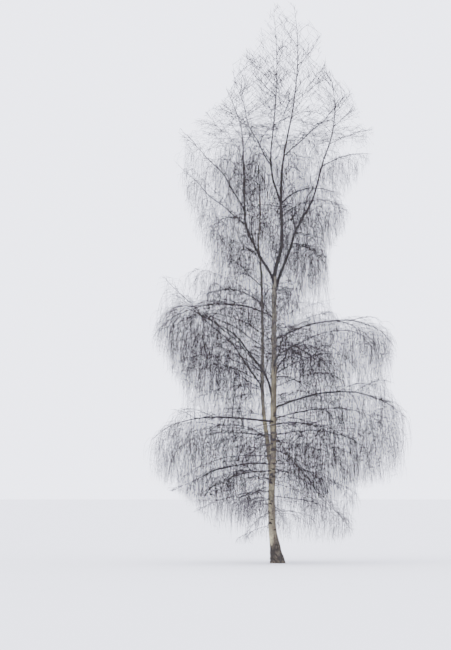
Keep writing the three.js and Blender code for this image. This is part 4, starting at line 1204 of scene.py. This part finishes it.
def mottled_cork(tree, place):
    """Dark cork with paler upright flecks."""
    noise = noise_at(tree, flattened(tree, place, CORK_FLATNESS), *CORK_NOISE)
    return blend(tree, step_of(tree, noise, *PALE_CORK_EDGES), CORK, CORK_PALE)


def trunk_bark(name, group, marked, heights, upper):
    """Cream bark with grey patches, which turns into the two colours of the upper bark between the heights,
    with level flecks. Where the mesh carries marks, it has painted shade and is corky, furrowed and
    scarred by them."""
    material, tree, shader, place = new_material(name, BARK_ROUGHNESS)
    height = node(tree, "ShaderNodeSeparateXYZ", {"Vector": place}).outputs["Z"]
    patches = noise_at(tree, flattened(tree, place, PATCH_FLATNESS), *PATCH_NOISE)
    colour = blend(tree, step_of(tree, patches, *GREY_EDGES), CREAM, GREY_CREAM)
    colour = blend(tree, step_of(tree, height, heights[0], heights[1]), colour, upper[0])
    colour = blend(tree, step_of(tree, height, heights[1], heights[2]), colour, upper[1])
    for kind in (SMALL_FLECKS, LARGE_FLECKS):
        colour = blend(tree, flecks(tree, group, place, *kind), colour, FLECK)
    if marked:
        # painted shade: the trunk's right side is darkened as if in shadow
        colour = blend(tree, mark(tree, "shade"), colour, SHADED)
        colour = blend(tree, mark(tree, "cork"), colour, mottled_cork(tree, place))
        colour = blend(tree, step_of(tree, mark(tree, "furrow"), *FURROW_EDGES), colour, FURROW)
        colour = blend(tree, step_of(tree, mark(tree, "scar"), *SCAR_EDGES), colour, FURROW)
    tree.links.new(colour, shader.inputs["Base Color"])
    grain = noise_at(tree, flattened(tree, place, GRAIN_FLATNESS), *GRAIN_NOISE)
    give_grain(tree, shader, grain, *BARK_GRAIN)
    return material


def limb_bark(group):
    """Dark grey brown bark with paler patches and fine flecks."""
    material, tree, shader, place = new_material("limb_bark", LIMB_ROUGHNESS)
    patches = noise_at(tree, place, *LIMB_PATCH_NOISE)
    colour = blend(tree, step_of(tree, patches, *PALE_LIMB_EDGES), LIMB_DARK, LIMB_PALE)
    colour = blend(tree, flecks(tree, group, place, *LIMB_FLECKS), colour, FLECK)
    tree.links.new(colour, shader.inputs["Base Color"])
    give_grain(tree, shader, noise_at(tree, place, *LIMB_GRAIN_NOISE), *LIMB_GRAIN)
    return material


def plain(name, colour, roughness):
    """A material of one plain colour."""
    material, _, shader, _ = new_material(name, roughness)
    shader.inputs["Base Color"].default_value = colour
    return material


# The camera stands at eye height, 50 m in front of the tree, and looks up a little
CAMERA_PLACE = (-1.236, -50, 1.6)
CAMERA_UP = math.radians(4.69)
LENS = 115.4
SENSOR = 36
FURTHEST_SEEN = 1000

# The floor runs from behind the camera to far behind the tree
FLOOR_SIDE = 400
FLOOR_FRONT = -60
FLOOR_BACK = 900

# Light: the strength of the pale sky, and the sun's strength, width and turn in degrees
SKY_STRENGTH = 4.6
SUN_STRENGTH = 1.4
SUN_WIDTH = 50
SUN_TURN = (48, 0, -58)


def make_camera():
    """An upright picture, with the lens and the sensor in millimetres."""
    camera = bpy.data.cameras.new("camera")
    camera.sensor_fit = "VERTICAL"
    camera.sensor_height = SENSOR
    camera.lens = LENS
    camera.clip_end = FURTHEST_SEEN
    made = bpy.data.objects.new("camera", camera)
    made.location = CAMERA_PLACE
    made.rotation_euler = (math.pi / 2 + CAMERA_UP, 0, 0)
    bpy.context.collection.objects.link(made)
    bpy.context.scene.camera = made


def make_floor():
    """A level floor with faint pale patches."""
    corners = np.array([
        [-FLOOR_SIDE, FLOOR_FRONT, 0], [FLOOR_SIDE, FLOOR_FRONT, 0],
        [FLOOR_SIDE, FLOOR_BACK, 0], [-FLOOR_SIDE, FLOOR_BACK, 0],
    ])
    material, tree, shader, place = new_material("floor", FLOOR_ROUGHNESS)
    patches = noise_at(tree, place, *FLOOR_NOISE)
    tree.links.new(blend(tree, patches, *FLOOR_TONES), shader.inputs["Base Color"])
    mesh_object("floor", corners, np.array([[0, 1, 2], [0, 2, 3]]), material)


def make_light():
    """A pale sky all round, and a wide soft sun from the front left."""
    world = bpy.data.worlds.new("sky")
    world.use_nodes = True
    sky = world.node_tree.nodes["Background"]
    sky.inputs["Color"].default_value = SKY
    sky.inputs["Strength"].default_value = SKY_STRENGTH
    bpy.context.scene.world = world
    sun = bpy.data.lights.new("sun", "SUN")
    sun.energy = SUN_STRENGTH
    sun.angle = math.radians(SUN_WIDTH)
    made = bpy.data.objects.new("sun", sun)
    made.rotation_euler = [math.radians(turn) for turn in SUN_TURN]
    bpy.context.collection.objects.link(made)


def make_trunk(group):
    """The trunk, with the relief and the marks of its bark."""
    roots = [(limb.on * MM, limb.heading) for limb in LIMBS + SMALL_LIMBS if limb.parent == "trunk"]
    corners, triangles, marks = trunk_surface(roots)
    material = trunk_bark("trunk_bark", group, True, TRUNK_UPPER_HEIGHTS, TRUNK_UPPER)
    piece = mesh_object("trunk_bark_relief", corners, triangles, material, marks)
    place_piece(piece, ["trunk"])


def make_stems(group, limb_material):
    """The other stems. The second one has pale bark like the trunk, the leaders have dark bark like limbs."""
    pale_material = trunk_bark("second_stem_bark", group, False, STEM_UPPER_HEIGHTS, STEM_UPPER)
    for number, (name, stem) in enumerate(STEMS.items()):
        path, radii = stem_surface(stem, STEM_SEED + 2 * number)
        corners, triangles = tubes(path[None], radii[None], STEM_SIDES)
        pale = name == "second_stem"
        piece = mesh_object(name + "_relief", corners, triangles, pale_material if pale else limb_material)
        place_piece(piece, [name])


def make_limbs(name, limbs, sides, material, nodes):
    """One piece from all limbs of a kind."""
    corners, triangles = tubes(limbs.path, limb_radii(limbs, sides), sides)
    place_piece(mesh_object(name, corners, triangles, material), nodes)


def make_twigs(name, families, material, nodes):
    """One piece from several kinds of twigs, each kind with its number of sides."""
    corners, triangles, first = [], [], 0
    for twigs, sides in families:
        share = np.linspace(0, 1, twigs.path.shape[1])[None, :, None]
        radii = between((twigs.thick[:, None, None], twigs.thin[:, None, None]), share) / 2
        made, faces = tubes(twigs.path, radii, sides)
        corners.append(made)
        triangles.append(faces + first)
        first += len(made)
    piece = mesh_object(name, np.concatenate(corners), np.concatenate(triangles), material)
    place_piece(piece, nodes)


def drawn_with(twigs, points):
    """The twigs with only these points of their paths."""
    return twigs._replace(path=twigs.path[:, points])


def grow_crown(limbs):
    """The branches, shoots, hanging twigs, twiglets and buds that grow from the limbs. The first three are
    thinned in turn."""
    branches = thinned(grow_branches(limbs), BRANCH_ROOM)
    shoots = thinned(joined(grow_shoots(limbs), grow_shoots(branches)), SHOOT_ROOM)
    hanging = thinned(joined(
        grow_hanging(shoots, HANG_SPACING, HANG_ON_SHOOTS),
        grow_hanging(branches, HANG_SPACING, HANG_ON_BRANCHES),
        grow_hanging(limbs, HANG_SPACING, HANG_ON_LIMBS),
    ))
    shorter = hanging._replace(weep=hanging.weep * LOWER_LENGTH)
    hanging = thinned(joined(hanging, grow_hanging(shorter, LOWER_SPACING, LOWER_STRETCH)))
    twiglets = grow_twiglets(hanging)
    return branches, shoots, hanging, twiglets, grow_buds(twiglets)


def make_crown(limbs, masses):
    """The twigs in one piece for each tone of bark, and the buds in one more."""
    branches, shoots, hanging, twiglets, buds = grow_crown(limbs)
    is_short = path_length(hanging.path) < SHORT_HANGING
    families = [
        (branches, BRANCH_SIDES),
        (drawn_with(shoots, SHOOT_DRAWN), TWIG_SIDES),
        (drawn_with(chosen(hanging, ~is_short), LONG_DRAWN), TWIG_SIDES),
        (drawn_with(chosen(hanging, is_short), SHORT_DRAWN), TWIG_SIDES),
        (twiglets, TWIG_SIDES),
    ]
    for tone in range(TONES):
        toned = [(chosen(twigs, twigs.spray == tone), sides) for twigs, sides in families]
        material = plain(f"twig_bark_{tone + 1}", TWIG_TONES[tone], TWIG_ROUGHNESS)
        make_twigs(f"twigs_{tone + 1}", toned, material, masses)
    make_twigs("buds", [(buds, TWIG_SIDES)], plain("buds", BUD_BROWN, BUD_ROUGHNESS), masses)


def make_tree():
    """The trunk, the stems, the limbs and the crown. The limbs are cut back to the crown's outline."""
    nodes = sorted(frame["nodes"])
    boughs = [name for name in nodes if name.endswith("_bough")]
    masses = [name for name in nodes if name.endswith("_twigs")]
    group = flecks_group()
    limb_material = limb_bark(group)
    make_trunk(group)
    make_stems(group, limb_material)
    stems, traced = limb_families()
    limbs = within_crown(traced, LIMB_EDGE)
    filling = within_crown(fill_limbs(stems), LIMB_EDGE)
    make_limbs("boughs", limbs, LIMB_SIDES, limb_material, boughs)
    make_limbs("small_limbs", filling, SMALL_SIDES, limb_material, boughs)
    make_crown(joined(limbs, filling), masses)


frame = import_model()
make_camera()
make_floor()
make_light()
make_tree()
